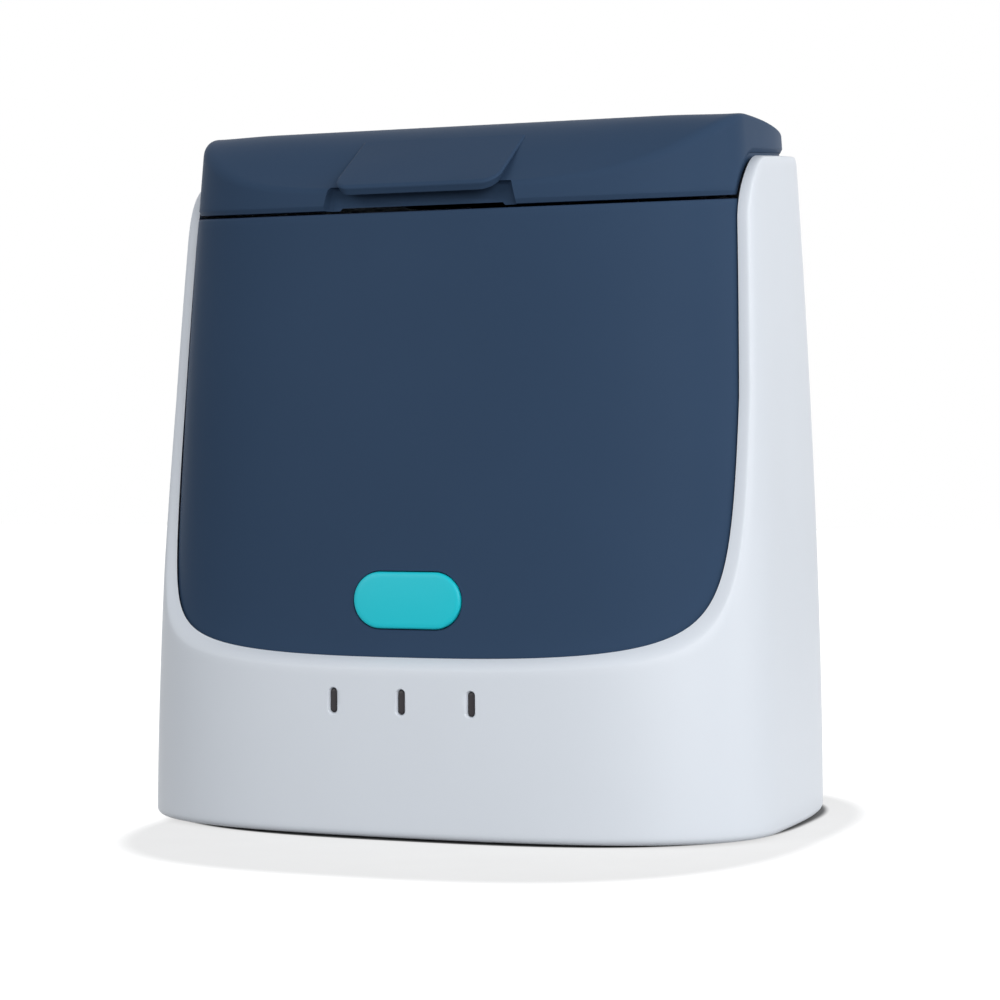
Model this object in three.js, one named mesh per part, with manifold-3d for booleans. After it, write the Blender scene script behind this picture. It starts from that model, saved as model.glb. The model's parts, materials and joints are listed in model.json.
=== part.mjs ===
// Point-of-care PCR device: a small bench unit with a hinged lid over one cartridge well.
// Millimetres. X runs to the user's right, Y to the rear, Z up.
// The origin is under the middle of the footprint.
import * as THREE from "three";
import { mergeVertices } from "three/addons/utils/BufferGeometryUtils.js";
import Module from "manifold-3d";

const wasm = await Module();
wasm.setup();

// Overall form: a rounded plan that is drawn in towards the top.
const width = 112;
const frontDepth = 31; // from the widest line to the front
const rearDepth = 64; // from the widest line to the rear
const height = 120;
const frontRoundness = { base: 2.66, top: 2.3 }; // exponents of the plan curve
const rearRoundness = 3.24;
const sideDraw = 4.75; // how far each side comes in over the whole height
const frontDraw = 5.9;
const drawPower = 1.65;

// Fits and clearances
const seatGap = 0.3; // between two pieces that rest on each other
const windowGap = 0.12; // round a light pipe in its window
const pinGap = 0.15; // round a hinge pin, and round a screw in its post
const overrun = 6; // how far a cutting shape runs past what it cuts

// Shell and the openings in it
const shellWall = 1.9;
const shellLift = 0.4; // the shell's lower edge above the table
const rimDrop = 5.63; // from the lid's top to the shell's rim, over the origin
const rimSlope = 0.11; // the rim and the lid's parting line rise to the rear
const ventSlot = { count: 7, width: 30, height: 2.2, pitch: 4.4 };
const cutOutShares = [
  [-0.5, 0.2413],
  [-0.325, 0.2761],
  [-0.3134, 0.3475],
  [-0.2674, 0.6],
];
const earShares = [
  [-0.2368, 0.8417],
  [-0.22, 0.9367],
  [-0.1547, 0.9396],
];

// Front panel
const panelRecess = 2.2; // of the panel and the lid behind the shell's face
const panelWall = 2;
const panelLap = { rear: 5, below: 3 }; // how far the panel runs on behind the shell

// Base plate, feet and base screws
const baseRise = 1; // underside of the base plate above the table
const baseThickness = 3;
const baseVent = { count: 5, width: 2, length: 30, pitch: 6 };
const foot = { radius: 5, recess: 1.3, inboard: 11.0967, frontY: -29, rearY: 32 };
const basePost = { radius: 4.2, top: 22, frontAngle: -40, rearAngle: 45 };
const postMerge = 1; // how far a post runs into the shell's wall

// Screws, by the piece that they hold
const baseScrew = { shank: 1.5, head: 2.6, headHeight: 1.6, length: 12 };
const deckScrew = { shank: 1.2, head: 2.3, headHeight: 1.1, length: 9 };
const boardScrew = { shank: 1.1, head: 2.1, headHeight: 1.2, length: 5 };
const linerScrew = { shank: 0.9, head: 1.8, headHeight: 0.9, length: 3.2 };
const driveDepthShare = 0.55; // of the head's height
const driveWidthShare = 0.3; // of the head's radius
const threadWall = 1.4; // plastic left round a screw

// Deck under the lid
const earRise = 6.32; // from the lid's lower edge up to the shell's rim
const lidSeam = 0.85; // from the panel's upper edge up to the lid's lower edge
const deckDrop = 1.65; // from the lid's lower edge down to the deck
const deckThickness = 2.4;
const deckPost = { radius: 4.4, length: 16, frontAngle: 9, rearAngle: 48, sink: 1.5 };

// Cartridge well
const well = { width: 41, depth: 12, length: 66, wall: 1.6 };
const wellShoulder = { reach: 3, thickness: 3 };
const heaterHeight = 24; // centre of the heater above the bottom of the well

// Heater, cooler and fan
const heater = { width: 30, depth: 6.6 };
const thermistor = { radius: 1, reach: 9, stub: 3 }; // a rod in the heater block's side
const cooler = { width: 30, depth: 3.6 };
const insulation = { width: 44, depth: 8.4 };
const heatSink = { width: 40, base: 3, fins: 8, fin: 1.2 };
const fan = { width: 40, depth: 9, bore: 18.4, hub: 8, spider: 1.4, arm: 2.4, blades: 7, blade: 1 };
const fanTipGap = 0.7;
const bladeTurn = 32; // degrees

// Optics
const optics = { width: 30, height: 26, length: 21, bore: 3, spacing: 12, board: 1.6 };
const emitter = { length: 6 };
const sensor = { length: 5 };
const lens = { thickness: 2.6, edge: 1.2, setback: 5 };
const filter = { thickness: 1.5, setback: 4 };
const opticsWindow = { width: 22, height: 10 };

// Main board and power inlet
const mainBoard = { sideRoom: 20, frontRoom: 21.5, rearRoom: 10.5, thickness: 1.6, rise: 5.4, holeInset: 4 };
const standoffRadius = 3;
const inlet = { x: 16, width: 9, height: 10.5, depth: 13, bore: 3.1, boreDepth: 9, pin: 1, setback: 0.5 };

// Front board with the button switch and the indicators
const frontBoard = { beside: 13.85, setback: 11.5, thickness: 1.6, below: 8, above: 10 };
const frontPost = { radius: 2.9, inset: 5, drop: 2.5 };
const indicator = { width: 1.1, height: 3.9, pitch: 12.15, drop: 6.456, setback: 0.15 };
const pipeCollar = { reach: 0.8, thickness: 1.2 };
const indicatorLed = { width: 2.4, height: 3.2, depth: 1.4 };
const button = { width: 18.9, height: 9.3, rise: 9.994, proud: 0.5, gap: 0.35, travel: 1 };
const buttonFlange = { reach: 1.6, thickness: 1.2 };
const keySwitch = { width: 6.2, plunger: 1.7, plungerLength: 1, rest: 0.12 };

// Lid
const lidWall = 2;
const lidEdgeRound = 3; // where the lid's sides turn into its top
const earGap = 0.9; // between the lid's edge and the shell's ears
const lidTopShares = [
  [-0.4316, 0.8917],
  [-0.3526, 0.925],
  [-0.2947, 1],
  [-0.1789, 1],
];
const tab = { width: 29.4, lip: 2.05, proud: 1.8, root: 13.6, corner: 1.2 };
const tabRiseShare = 0.66; // of its length
const tabUnderside = 1.85; // from the lid's lower edge up to the tab
const pocket = { width: 33.6, height: 3.9, depth: 3.4, wall: 1.5 };
const hinge = { y: 36, radius: 2.1, halfLength: 25, lugX: 17, lug: 6, pin: 1, pinLength: 15 };
const hingeCoverGap = 0.5;
const lidRearEnd = 33; // the lid's rear edge beside the hinge
const liner = { thickness: 1.6, drop: 0.8, inset: 5.2, frontY: -19, rearY: 32.4, screwY: 5 };
const linerBoss = { width: 46, depth: 15, length: 3.8, toScrew: 3 };
const pressPlate = { width: 44, depth: 13, thickness: 1.6 };
const pressPad = { width: 40, depth: 11, thickness: 1.4 };
const magnet = { radius: 2.5, thickness: 1.5, x: 28, y: -31, wall: 1.2 };

// Mesh fineness
const planSides = 64;
const loftStep = 30;
const edgeSteps = 14;
const curveSteps = 4;
const roundSides = 16;
const screwSides = 10;
const lensSteps = 3;
const weldDistance = 1e-4;

// Places that several pieces share
const depth = frontDepth + rearDepth;
const farUp = 2 * height;
const widestY = frontDepth - depth / 2;
const rimMiddle = height - rimDrop;
const partingMiddle = rimMiddle - earRise;
const deckMiddle = partingMiddle - deckDrop;
const hingeZ = height - hinge.radius;
const baseTop = baseRise + baseThickness;
const wellBottom = deckMiddle - well.length;
const heaterZ = wellBottom + heaterHeight;
const span = width / 2 + overrun;
const boardBottom = baseTop + mainBoard.rise + seatGap;
const boardTop = boardBottom + mainBoard.thickness;
const panelFootZ = cutOutShares[0][1] * height;
const indicatorZ = panelFootZ - indicator.drop;
const buttonZ = panelFootZ + button.rise;
const linerTop = height - lidWall - liner.drop;
const linerBottom = linerTop - liner.thickness;

// Shared helpers: solids from three.js geometry

function solidOf(geometry) {
  geometry.deleteAttribute("normal");
  geometry.deleteAttribute("uv");
  const merged = mergeVertices(geometry, weldDistance);
  return new wasm.Manifold(
    new wasm.Mesh({
      numProp: 3,
      vertProperties: merged.getAttribute("position").array,
      triVerts: new Uint32Array(merged.index.array),
    }),
  );
}

function joined(solids) {
  return solids.reduce((sum, solid) => sum.add(solid));
}

function without(solid, cuts) {
  return cuts.reduce((rest, cut) => rest.subtract(cut), solid);
}

function block([x0, x1], [y0, y1], [z0, z1]) {
  const geometry = new THREE.BoxGeometry(x1 - x0, y1 - y0, z1 - z0);
  geometry.translate((x0 + x1) / 2, (y0 + y1) / 2, (z0 + z1) / 2);
  return solidOf(geometry);
}

// A block that is centred on x.
function wideBlock(blockWidth, ys, zs, x = 0) {
  return block([x - blockWidth / 2, x + blockWidth / 2], ys, zs);
}

// A round bar from low to high along "x", "y" or "z", with the other two places given in order.
function bar(axis, radius, low, high, [a, b], sides = roundSides) {
  const geometry = new THREE.CylinderGeometry(radius, radius, high - low, sides);
  const middle = (low + high) / 2;
  if (axis === "x") geometry.rotateZ(-Math.PI / 2).translate(middle, a, b);
  if (axis === "y") geometry.translate(a, middle, b);
  if (axis === "z") geometry.rotateX(Math.PI / 2).translate(a, b, middle);
  return solidOf(geometry);
}

// An outline in Y and Z, drawn out along X over the whole width.
function sidePrism(shape, halfSpan = span) {
  const geometry = new THREE.ExtrudeGeometry(shape, {
    depth: 2 * halfSpan,
    bevelEnabled: false,
    curveSegments: edgeSteps,
  });
  const turn = new THREE.Matrix4().makeBasis(
    new THREE.Vector3(0, 1, 0),
    new THREE.Vector3(0, 0, 1),
    new THREE.Vector3(1, 0, 0),
  );
  return solidOf(geometry.applyMatrix4(turn).translate(-halfSpan, 0, 0));
}

// An outline in X and Z, drawn out along Y from one place to another.
function frontPrism(shape, [y0, y1]) {
  const geometry = new THREE.ExtrudeGeometry(shape, {
    depth: y1 - y0,
    bevelEnabled: false,
    curveSegments: curveSteps,
  });
  return solidOf(geometry.rotateX(Math.PI / 2).translate(0, y1, 0));
}

// A stadium: its long side lies along X or along Z, whichever size is larger.
function stadium(stadiumWidth, stadiumHeight, x, z, grow = 0) {
  const halfWidth = stadiumWidth / 2 + grow;
  const halfHeight = stadiumHeight / 2 + grow;
  const radius = Math.min(halfWidth, halfHeight);
  const shape = new THREE.Shape();
  const right = x + halfWidth - radius;
  const left = x - halfWidth + radius;
  const top = z + halfHeight - radius;
  const bottom = z - halfHeight + radius;
  if (halfWidth > halfHeight) {
    shape.absarc(right, z, radius, -Math.PI / 2, Math.PI / 2);
    shape.absarc(left, z, radius, Math.PI / 2, (3 * Math.PI) / 2);
  } else {
    shape.absarc(x, top, radius, 0, Math.PI);
    shape.absarc(x, bottom, radius, Math.PI, 2 * Math.PI);
  }
  return shape;
}

// A slab that follows the parting line's slope; its faces are given by their heights over the origin.
function slopedSlab(low, high, [y0, y1] = [-depth, depth]) {
  const shape = new THREE.Shape();
  shape.moveTo(y0, low + rimSlope * y0);
  shape.lineTo(y1, low + rimSlope * y1);
  shape.lineTo(y1, high + rimSlope * y1);
  shape.lineTo(y0, high + rimSlope * y0);
  return sidePrism(shape);
}

// Shared helpers: the body's curved form

function drawShare(z) {
  return Math.max(z / height, 0) ** drawPower;
}

function frontExponent(z) {
  return THREE.MathUtils.lerp(frontRoundness.base, frontRoundness.top, drawShare(z));
}

function rounded(value, exponent) {
  return Math.sign(value) * Math.abs(value) ** (2 / exponent);
}

// A place on the plan curve, set in from the outside; the angle is in radians from the right-hand side.
function planPlace(angle, z, inset) {
  const front = Math.sin(angle) < 0;
  const exponent = front ? frontExponent(z) : rearRoundness;
  const sideInset = sideDraw * drawShare(z) + inset;
  const frontInset = frontDraw * drawShare(z) + inset;
  const reach = front ? frontDepth - frontInset : rearDepth - sideInset;
  return [
    (width / 2 - sideInset) * rounded(Math.cos(angle), exponent),
    widestY + reach * rounded(Math.sin(angle), exponent),
  ];
}

function frontFaceY(z, inset) {
  return planPlace(-Math.PI / 2, z, inset)[1];
}

function rearFaceY(z, inset) {
  return planPlace(Math.PI / 2, z, inset)[1];
}

// The front and the rear face at a place beside the middle, where the plan curve has fallen back.
function frontFaceBeside(x, z, inset) {
  const halfWidth = width / 2 - sideDraw * drawShare(z) - inset;
  const reach = frontDepth - frontDraw * drawShare(z) - inset;
  const share = 1 - Math.abs(x / halfWidth) ** frontExponent(z);
  return widestY - reach * share ** (1 / frontExponent(z));
}

function rearFaceBeside(x, z, inset) {
  const sideInset = sideDraw * drawShare(z) + inset;
  const share = 1 - Math.abs(x / (width / 2 - sideInset)) ** rearRoundness;
  return widestY + (rearDepth - sideInset) * share ** (1 / rearRoundness);
}

// A closed form through plan curves, one for each level's height and inset.
function formThrough(levels) {
  const points = levels.flatMap(([z, inset]) =>
    Array.from({ length: planSides }, (_, side) => {
      return [...planPlace((2 * Math.PI * side) / planSides, z, inset), z];
    }).flat(),
  );
  const lowMiddle = points.length / 3;
  const topRow = (levels.length - 1) * planSides;
  points.push(0, 0, levels[0][0], 0, 0, levels.at(-1)[0]);
  const faces = [];
  for (let side = 0; side < planSides; side++) {
    const next = (side + 1) % planSides;
    faces.push(lowMiddle, next, side, lowMiddle + 1, topRow + side, topRow + next);
    for (let row = 0; row < topRow; row += planSides) {
      const above = row + planSides;
      faces.push(row + side, row + next, above + next, row + side, above + next, above + side);
    }
  }
  const geometry = new THREE.BufferGeometry();
  geometry.setAttribute("position", new THREE.Float32BufferAttribute(points, 3));
  geometry.setIndex(faces);
  return solidOf(geometry);
}

function evenLevels(low, high, inset) {
  const steps = Math.ceil((high - low) / loftStep);
  return Array.from({ length: steps + 1 }, (_, step) => [low + ((high - low) * step) / steps, inset]);
}

// The body's form between two heights, set in from the outside.
function bodyForm(low, high, inset) {
  return formThrough(evenLevels(low, high, inset));
}

// The lid's form, whose sides round over into its top.
function lidForm(inset) {
  const levels = evenLevels(0, height - lidEdgeRound, inset);
  for (let step = 1; step <= curveSteps; step++) {
    const angle = (Math.PI / 2) * (step / curveSteps);
    levels.push([
      height - lidEdgeRound * (1 - Math.sin(angle)),
      inset + lidEdgeRound * (1 - Math.cos(angle)),
    ]);
  }
  return formThrough(levels);
}

function sharePlace([y, z]) {
  return [y * depth, z * height];
}

// One side of the shell's edge, which runs across the front, up the ears and back along the rim.
// The edge is moved back and up first; the side is the one ahead of it or the one behind it.
function edgeSide(ahead, backShift = 0, upShift = 0) {
  const moved = ([y, z]) => [y + backShift, z + upShift];
  const [start, low, high, end] = cutOutShares.map(sharePlace).map(moved);
  const [earEnd, earPull, rimStart] = earShares.map(sharePlace).map(moved);
  const limit = ahead ? farUp : 0;
  const shape = new THREE.Shape();
  shape.moveTo(-depth, limit);
  shape.lineTo(-depth, start[1]);
  shape.lineTo(...start);
  shape.bezierCurveTo(...low, ...high, ...end);
  shape.lineTo(...earEnd);
  shape.quadraticCurveTo(...earPull, ...rimStart);
  shape.lineTo(depth + backShift, rimMiddle + rimSlope * depth + upShift);
  shape.lineTo(depth + backShift, limit);
  return sidePrism(shape);
}

// Screws, which stand along Z with the head's seat at the given height

function screwSolid(screw, x, y, seat, headUp) {
  const facing = headUp ? 1 : -1;
  const profile = [
    [0, -screw.length],
    [screw.shank, -screw.length],
    [screw.shank, 0],
    [screw.head, 0],
    [screw.head, screw.headHeight],
    [0, screw.headHeight],
  ].map(([radius, along]) => new THREE.Vector2(radius, along));
  const geometry = new THREE.LatheGeometry(profile, screwSides);
  geometry.rotateX((facing * Math.PI) / 2).translate(x, y, seat);
  const top = seat + facing * screw.headHeight;
  const bottom = top - facing * screw.headHeight * driveDepthShare;
  const arm = screw.head * driveWidthShare;
  const drive = [Math.min(bottom, top + facing * overrun), Math.max(bottom, top + facing * overrun)];
  const reach = screw.head - arm;
  return solidOf(geometry)
    .subtract(block([x - reach, x + reach], [y - arm / 2, y + arm / 2], drive))
    .subtract(block([x - arm / 2, x + arm / 2], [y - reach, y + reach], drive));
}

// The same screw laid along Y, with its head to the rear.
function screwAlongY(screw, x, seatY, z) {
  return screwSolid(screw, 0, 0, 0, true).rotate([-90, 0, 0]).translate([x, seatY, z]);
}

// Fastening places

// The places on the right-hand side where posts of one kind run into the shell's wall.
function postPlaces(post, z) {
  const inset = shellWall + post.radius - postMerge;
  return {
    front: planPlace(THREE.MathUtils.degToRad(post.frontAngle), z, inset),
    rear: planPlace(THREE.MathUtils.degToRad(post.rearAngle), z, inset),
  };
}

function eachCorner(places) {
  return Object.entries(places).flatMap(([end, [x, y]]) => [
    { name: end + "_left", x: -x, y },
    { name: end + "_right", x, y },
  ]);
}

function deckTopAt(y) {
  return deckMiddle + rimSlope * y;
}

function deckScrewSeat(y) {
  return deckTopAt(y) - deckPost.sink;
}

const boardWidth = width - 2 * mainBoard.sideRoom;
const boardFrontY = mainBoard.frontRoom - depth / 2;
const boardRearY = depth / 2 - mainBoard.rearRoom;
const boardHoleX = boardWidth / 2 - mainBoard.holeInset;
const boardHoles = eachCorner({
  front: [boardHoleX, boardFrontY + mainBoard.holeInset],
  rear: [boardHoleX, boardRearY - mainBoard.holeInset],
});
const basePostPlaces = postPlaces(basePost, 0);
const basePosts = eachCorner(basePostPlaces);
const footX = basePostPlaces.rear[0] - foot.inboard;
const feet = eachCorner({ front: [footX, foot.frontY], rear: [footX, foot.rearY] });
const deckPosts = eachCorner(postPlaces(deckPost, deckMiddle));
const frontBoardY = frontFaceY(indicatorZ, 0) + frontBoard.setback;
const frontBoardWidth = 2 * (indicator.pitch + frontBoard.beside);
const frontPostX = frontBoardWidth / 2 - frontPost.inset;
const frontPostZ = indicatorZ - frontPost.drop;
const panelInset = panelRecess + panelWall;
const panelFrontY = frontFaceY(buttonZ, panelRecess);
const panelRearY = frontFaceY(buttonZ, panelInset);

// Housing

function outerShell() {
  const form = bodyForm(shellLift, height, 0).intersect(edgeSide(false));
  const walls = form.subtract(bodyForm(-overrun, height + overrun, shellWall));
  const additions = joined([...shellPosts(), rearCover()]).intersect(form);
  return without(walls.add(additions), [...shellScrewHoles(), ...frontWindows(), ...rearOpenings()]);
}

// Posts for the base screws, the deck screws and the front board's screws.
function shellPosts() {
  const forBase = basePosts.map(({ x, y }) => {
    return bar("z", basePost.radius, baseTop + seatGap, basePost.top, [x, y]);
  });
  const forDeck = deckPosts.map(({ x, y }) => {
    const top = deckTopAt(y);
    return bar("z", deckPost.radius, top - deckPost.length, top, [x, y]);
  });
  const forBoard = [-frontPostX, frontPostX].map((x) => {
    return bar("y", frontPost.radius, frontFaceY(frontPostZ, 0), frontBoardY - seatGap, [x, frontPostZ]);
  });
  const underDeck = slopedSlab(-height, deckMiddle - deckThickness - seatGap);
  return [...forBase, ...forDeck, ...forBoard].map((post) => post.intersect(underDeck));
}

// The strip under the rim that closes the shell behind the lid, with room for the hinge barrel.
function rearCover() {
  const strip = slopedSlab(rimMiddle - shellWall, rimMiddle, [lidRearEnd + hingeCoverGap, depth]);
  const barrelRoom = [0, hinge.y + hinge.radius + hingeCoverGap];
  return strip.subtract(wideBlock(2 * (hinge.halfLength + hingeCoverGap), barrelRoom, [0, farUp]));
}

function shellScrewHoles() {
  const forBase = basePosts.map(({ x, y }) => {
    const tip = baseRise + baseScrew.headHeight + baseScrew.length + seatGap;
    return bar("z", baseScrew.shank + pinGap, 0, tip, [x, y]);
  });
  const forDeck = deckPosts.map(({ x, y }) => {
    const tip = deckScrewSeat(y) - deckScrew.length - seatGap;
    return bar("z", deckScrew.shank + pinGap, tip, height, [x, y]);
  });
  const forBoard = [-frontPostX, frontPostX].map((x) => {
    const tip = frontBoardY + frontBoard.thickness - boardScrew.length - seatGap;
    return bar("y", boardScrew.shank + pinGap, tip, 0, [x, frontPostZ]);
  });
  return [...forBase, ...forDeck, ...forBoard];
}

function frontWindows() {
  return [-indicator.pitch, 0, indicator.pitch].map((x) => {
    const outline = stadium(indicator.width, indicator.height, x, indicatorZ, windowGap);
    return frontPrism(outline, [-depth, frontFaceBeside(x, indicatorZ, shellWall) + shellWall]);
  });
}

// The fan's vent slots and the opening for the power inlet.
function rearOpenings() {
  const throughWall = [rearFaceY(height, shellWall) - seatGap, depth];
  const slots = Array.from({ length: ventSlot.count }, (_, slot) => {
    const z = heaterZ + (slot - (ventSlot.count - 1) / 2) * ventSlot.pitch;
    return wideBlock(ventSlot.width, throughWall, [z - ventSlot.height / 2, z + ventSlot.height / 2]);
  });
  const inletZs = [boardTop, boardTop + inlet.height + 2 * seatGap];
  return [...slots, wideBlock(inlet.width + 2 * seatGap, throughWall, inletZs, inlet.x)];
}

function frontPanel() {
  const wrap = bodyForm(0, height, panelRecess).subtract(bodyForm(-overrun, height + overrun, panelInset));
  const aperture = stadium(button.width, button.height, 0, buttonZ, button.gap);
  return wrap
    .intersect(edgeSide(true, panelLap.rear, -panelLap.below))
    .intersect(slopedSlab(-height, partingMiddle - lidSeam))
    .subtract(frontPrism(aperture, [-depth, panelRearY + overrun]));
}

function basePlate() {
  const standoffs = boardHoles.map(({ x, y }) => {
    return bar("z", standoffRadius, baseRise, boardBottom - seatGap, [x, y]);
  });
  const boardScrewHoles = boardHoles.map(({ x, y }) => {
    return bar("z", boardScrew.shank + pinGap, boardTop - boardScrew.length, boardTop, [x, y]);
  });
  const baseScrewHoles = basePosts.flatMap(({ x, y }) => [
    bar("z", baseScrew.shank + seatGap, 0, baseTop + overrun, [x, y]),
    bar("z", baseScrew.head + seatGap, 0, baseRise + baseScrew.headHeight, [x, y]),
  ]);
  const footRecesses = feet.map(({ x, y }) => {
    return bar("z", foot.radius + seatGap, 0, baseRise + foot.recess, [x, y]);
  });
  const vents = Array.from({ length: baseVent.count }, (_, slot) => {
    const x = (slot - (baseVent.count - 1) / 2) * baseVent.pitch;
    return wideBlock(baseVent.width, [-baseVent.length / 2, baseVent.length / 2], [0, baseTop + overrun], x);
  });
  const plate = joined([bodyForm(baseRise, baseTop, shellWall + seatGap), ...standoffs]);
  return without(plate, [...boardScrewHoles, ...baseScrewHoles, ...footRecesses, ...vents]);
}

function rubberFoot(x, y) {
  const top = baseRise + foot.recess - seatGap;
  const profile = [
    [0, 0],
    [foot.radius - seatGap, 0],
    [foot.radius, seatGap],
    [foot.radius, top],
    [0, top],
  ].map(([radius, z]) => new THREE.Vector2(radius, z));
  return solidOf(new THREE.LatheGeometry(profile, roundSides).rotateX(Math.PI / 2).translate(x, y, 0));
}

// Deck, hinge lugs and the cartridge well

function topDeck() {
  const slab = slopedSlab(deckMiddle - deckThickness, deckMiddle);
  const wingEnd = sharePlace(earShares[2])[0] + seatGap;
  const wide = bodyForm(0, height, shellWall + seatGap).intersect(
    block([-span, span], [wingEnd, depth], [0, height]),
  );
  const plate = slab.intersect(bodyForm(0, height, panelInset + seatGap).add(wide));
  const lugs = [-hinge.lugX, hinge.lugX].map((x) => {
    const ys = [hinge.y - hinge.radius, hinge.y + hinge.radius];
    const zs = [deckTopAt(hinge.y) - deckThickness / 2, hingeZ];
    const round = bar("x", hinge.radius, x - hinge.lug / 2, x + hinge.lug / 2, [hinge.y, hingeZ]);
    return wideBlock(hinge.lug, ys, zs, x).add(round);
  });
  const screwHoles = deckPosts.flatMap(({ x, y }) => [
    bar("z", deckScrew.shank + seatGap, 0, height, [x, y]),
    bar("z", deckScrew.head + seatGap, deckScrewSeat(y), height, [x, y]),
  ]);
  const halfWell = well.depth / 2 + well.wall + seatGap;
  const slot = wideBlock(well.width + 2 * (well.wall + seatGap), [-halfWell, halfWell], [0, height]);
  const magnetFloor = deckTopAt(magnet.y) - magnet.thickness - seatGap;
  const magnetPocket = bar("z", magnet.radius + seatGap, magnetFloor, height, [magnet.x, magnet.y]);
  const pinHole = bar("x", hinge.pin + pinGap, -span, span, [hinge.y, hingeZ]);
  return without(joined([plate, ...lugs]), [...screwHoles, slot, magnetPocket, pinHole]);
}

function cartridgeGuide() {
  const half = well.depth / 2;
  const outer = wideBlock(
    well.width + 2 * well.wall,
    [-half - well.wall, half + well.wall],
    [wellBottom - well.wall, height],
  );
  const inner = wideBlock(well.width, [-half, half], [wellBottom, height + overrun]);
  const reach = well.wall + wellShoulder.reach;
  const shoulderTop = deckMiddle - deckThickness - seatGap;
  const shoulder = wideBlock(well.width + 2 * reach, [-half - reach, half + reach], [0, height]).intersect(
    slopedSlab(shoulderTop - wellShoulder.thickness, shoulderTop),
  );
  const heaterHalf = heater.width / 2 + seatGap;
  const rearWindow = wideBlock(
    2 * heaterHalf,
    [0, half + overrun],
    [heaterZ - heaterHalf, heaterZ + heaterHalf],
  );
  const opticsHalf = opticsWindow.height / 2;
  const frontWindow = wideBlock(
    opticsWindow.width,
    [-half - overrun, 0],
    [heaterZ - opticsHalf, heaterZ + opticsHalf],
  );
  const walls = outer.add(shoulder).intersect(slopedSlab(-height, deckMiddle));
  return without(walls, [inner, rearWindow, frontWindow]);
}

// Heater, cooler and fan, one behind the other

const heaterFrontY = well.depth / 2 + seatGap;
const coolerFrontY = heaterFrontY + heater.depth + seatGap;
const heatSinkFrontY = coolerFrontY + cooler.depth + seatGap;
const fanRearY = rearFaceBeside(fan.width / 2, heaterZ + fan.width / 2, shellWall + seatGap);
const fanFrontY = fanRearY - fan.depth;
const heatSinkRearY = fanFrontY - seatGap;

function heaterBlock() {
  const half = heater.width / 2;
  const plate = wideBlock(
    heater.width,
    [heaterFrontY, heaterFrontY + heater.depth],
    [heaterZ - half, heaterZ + half],
  );
  const bore = bar("x", thermistor.radius + seatGap, half - thermistor.reach, half + overrun, sensorPlace());
  return plate.subtract(bore);
}

function sensorPlace() {
  return [heaterFrontY + heater.depth / 2, heaterZ];
}

function temperatureSensor() {
  const half = heater.width / 2;
  const inner = half - thermistor.reach + seatGap;
  return bar("x", thermistor.radius, inner, half + thermistor.stub, sensorPlace());
}

function peltierModule() {
  const half = cooler.width / 2;
  const ys = [coolerFrontY, coolerFrontY + cooler.depth];
  return wideBlock(cooler.width, ys, [heaterZ - half, heaterZ + half]);
}

function insulationFrame() {
  const front = well.depth / 2 + well.wall + seatGap;
  const half = insulation.width / 2;
  const hole = heater.width / 2 + seatGap;
  const ys = [front, front + insulation.depth];
  const sensorCut = block(
    [0, half + overrun],
    [sensorPlace()[0] - thermistor.radius - seatGap, front + insulation.depth + overrun],
    [heaterZ - thermistor.radius - seatGap, heaterZ + thermistor.radius + seatGap],
  );
  return wideBlock(insulation.width, ys, [heaterZ - half, heaterZ + half])
    .subtract(wideBlock(2 * hole, [0, front + insulation.depth + overrun], [heaterZ - hole, heaterZ + hole]))
    .subtract(sensorCut);
}

function heatSinkSolid() {
  const half = heatSink.width / 2;
  const zs = [heaterZ - half, heaterZ + half];
  const solids = [wideBlock(heatSink.width, [heatSinkFrontY, heatSinkFrontY + heatSink.base], zs)];
  const pitch = (heatSink.width - heatSink.fin) / (heatSink.fins - 1);
  for (let place = 0; place < heatSink.fins; place++) {
    const x = -half + heatSink.fin / 2 + place * pitch;
    solids.push(wideBlock(heatSink.fin, [heatSinkFrontY, heatSinkRearY], zs, x));
  }
  return joined(solids);
}

function fanFrame() {
  const half = fan.width / 2;
  const bored = wideBlock(fan.width, [fanFrontY, fanRearY], [heaterZ - half, heaterZ + half]).subtract(
    bar("y", fan.bore, fanFrontY - overrun, fanRearY + overrun, [0, heaterZ], 2 * roundSides),
  );
  const spiderYs = [fanRearY - fan.spider, fanRearY];
  const arms = wideBlock(fan.width - fan.arm, spiderYs, [heaterZ - fan.arm / 2, heaterZ + fan.arm / 2]).add(
    wideBlock(fan.arm, spiderYs, [heaterZ - half + fan.arm / 2, heaterZ + half - fan.arm / 2]),
  );
  return bored.add(arms).add(bar("y", fan.hub, ...spiderYs, [0, heaterZ]));
}

function fanRotor() {
  const rear = fanRearY - fan.spider - seatGap;
  const front = fanFrontY + seatGap;
  const tip = fan.bore - fanTipGap;
  const solids = [bar("y", fan.hub, front, rear, [0, heaterZ])];
  const middle = (front + rear) / 2;
  for (let place = 0; place < fan.blades; place++) {
    const bladeLength = tip - fan.hub / 2;
    const blade = block([0, bladeLength], [-fan.depth, fan.depth], [-fan.blade / 2, fan.blade / 2])
      .rotate([bladeTurn, 0, 0])
      .translate([fan.hub / 2, 0, 0])
      .rotate([0, (360 * place) / fan.blades, 0])
      .translate([0, middle, heaterZ]);
    solids.push(blade);
  }
  const envelope = bar("y", tip, front, rear, [0, heaterZ], 2 * roundSides);
  return joined(solids).intersect(envelope);
}

// Optics in front of the well

const opticsRearY = -(well.depth / 2 + well.wall + seatGap);
const opticsFrontY = opticsRearY - optics.length;

function opticsBlock() {
  const half = optics.height / 2;
  const housing = wideBlock(optics.width, [opticsFrontY, opticsRearY], [heaterZ - half, heaterZ + half]);
  const bores = [-optics.spacing / 2, optics.spacing / 2].map((x) => {
    return bar("y", optics.bore, opticsFrontY - overrun, opticsRearY + overrun, [x, heaterZ]);
  });
  return without(housing, bores);
}

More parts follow.
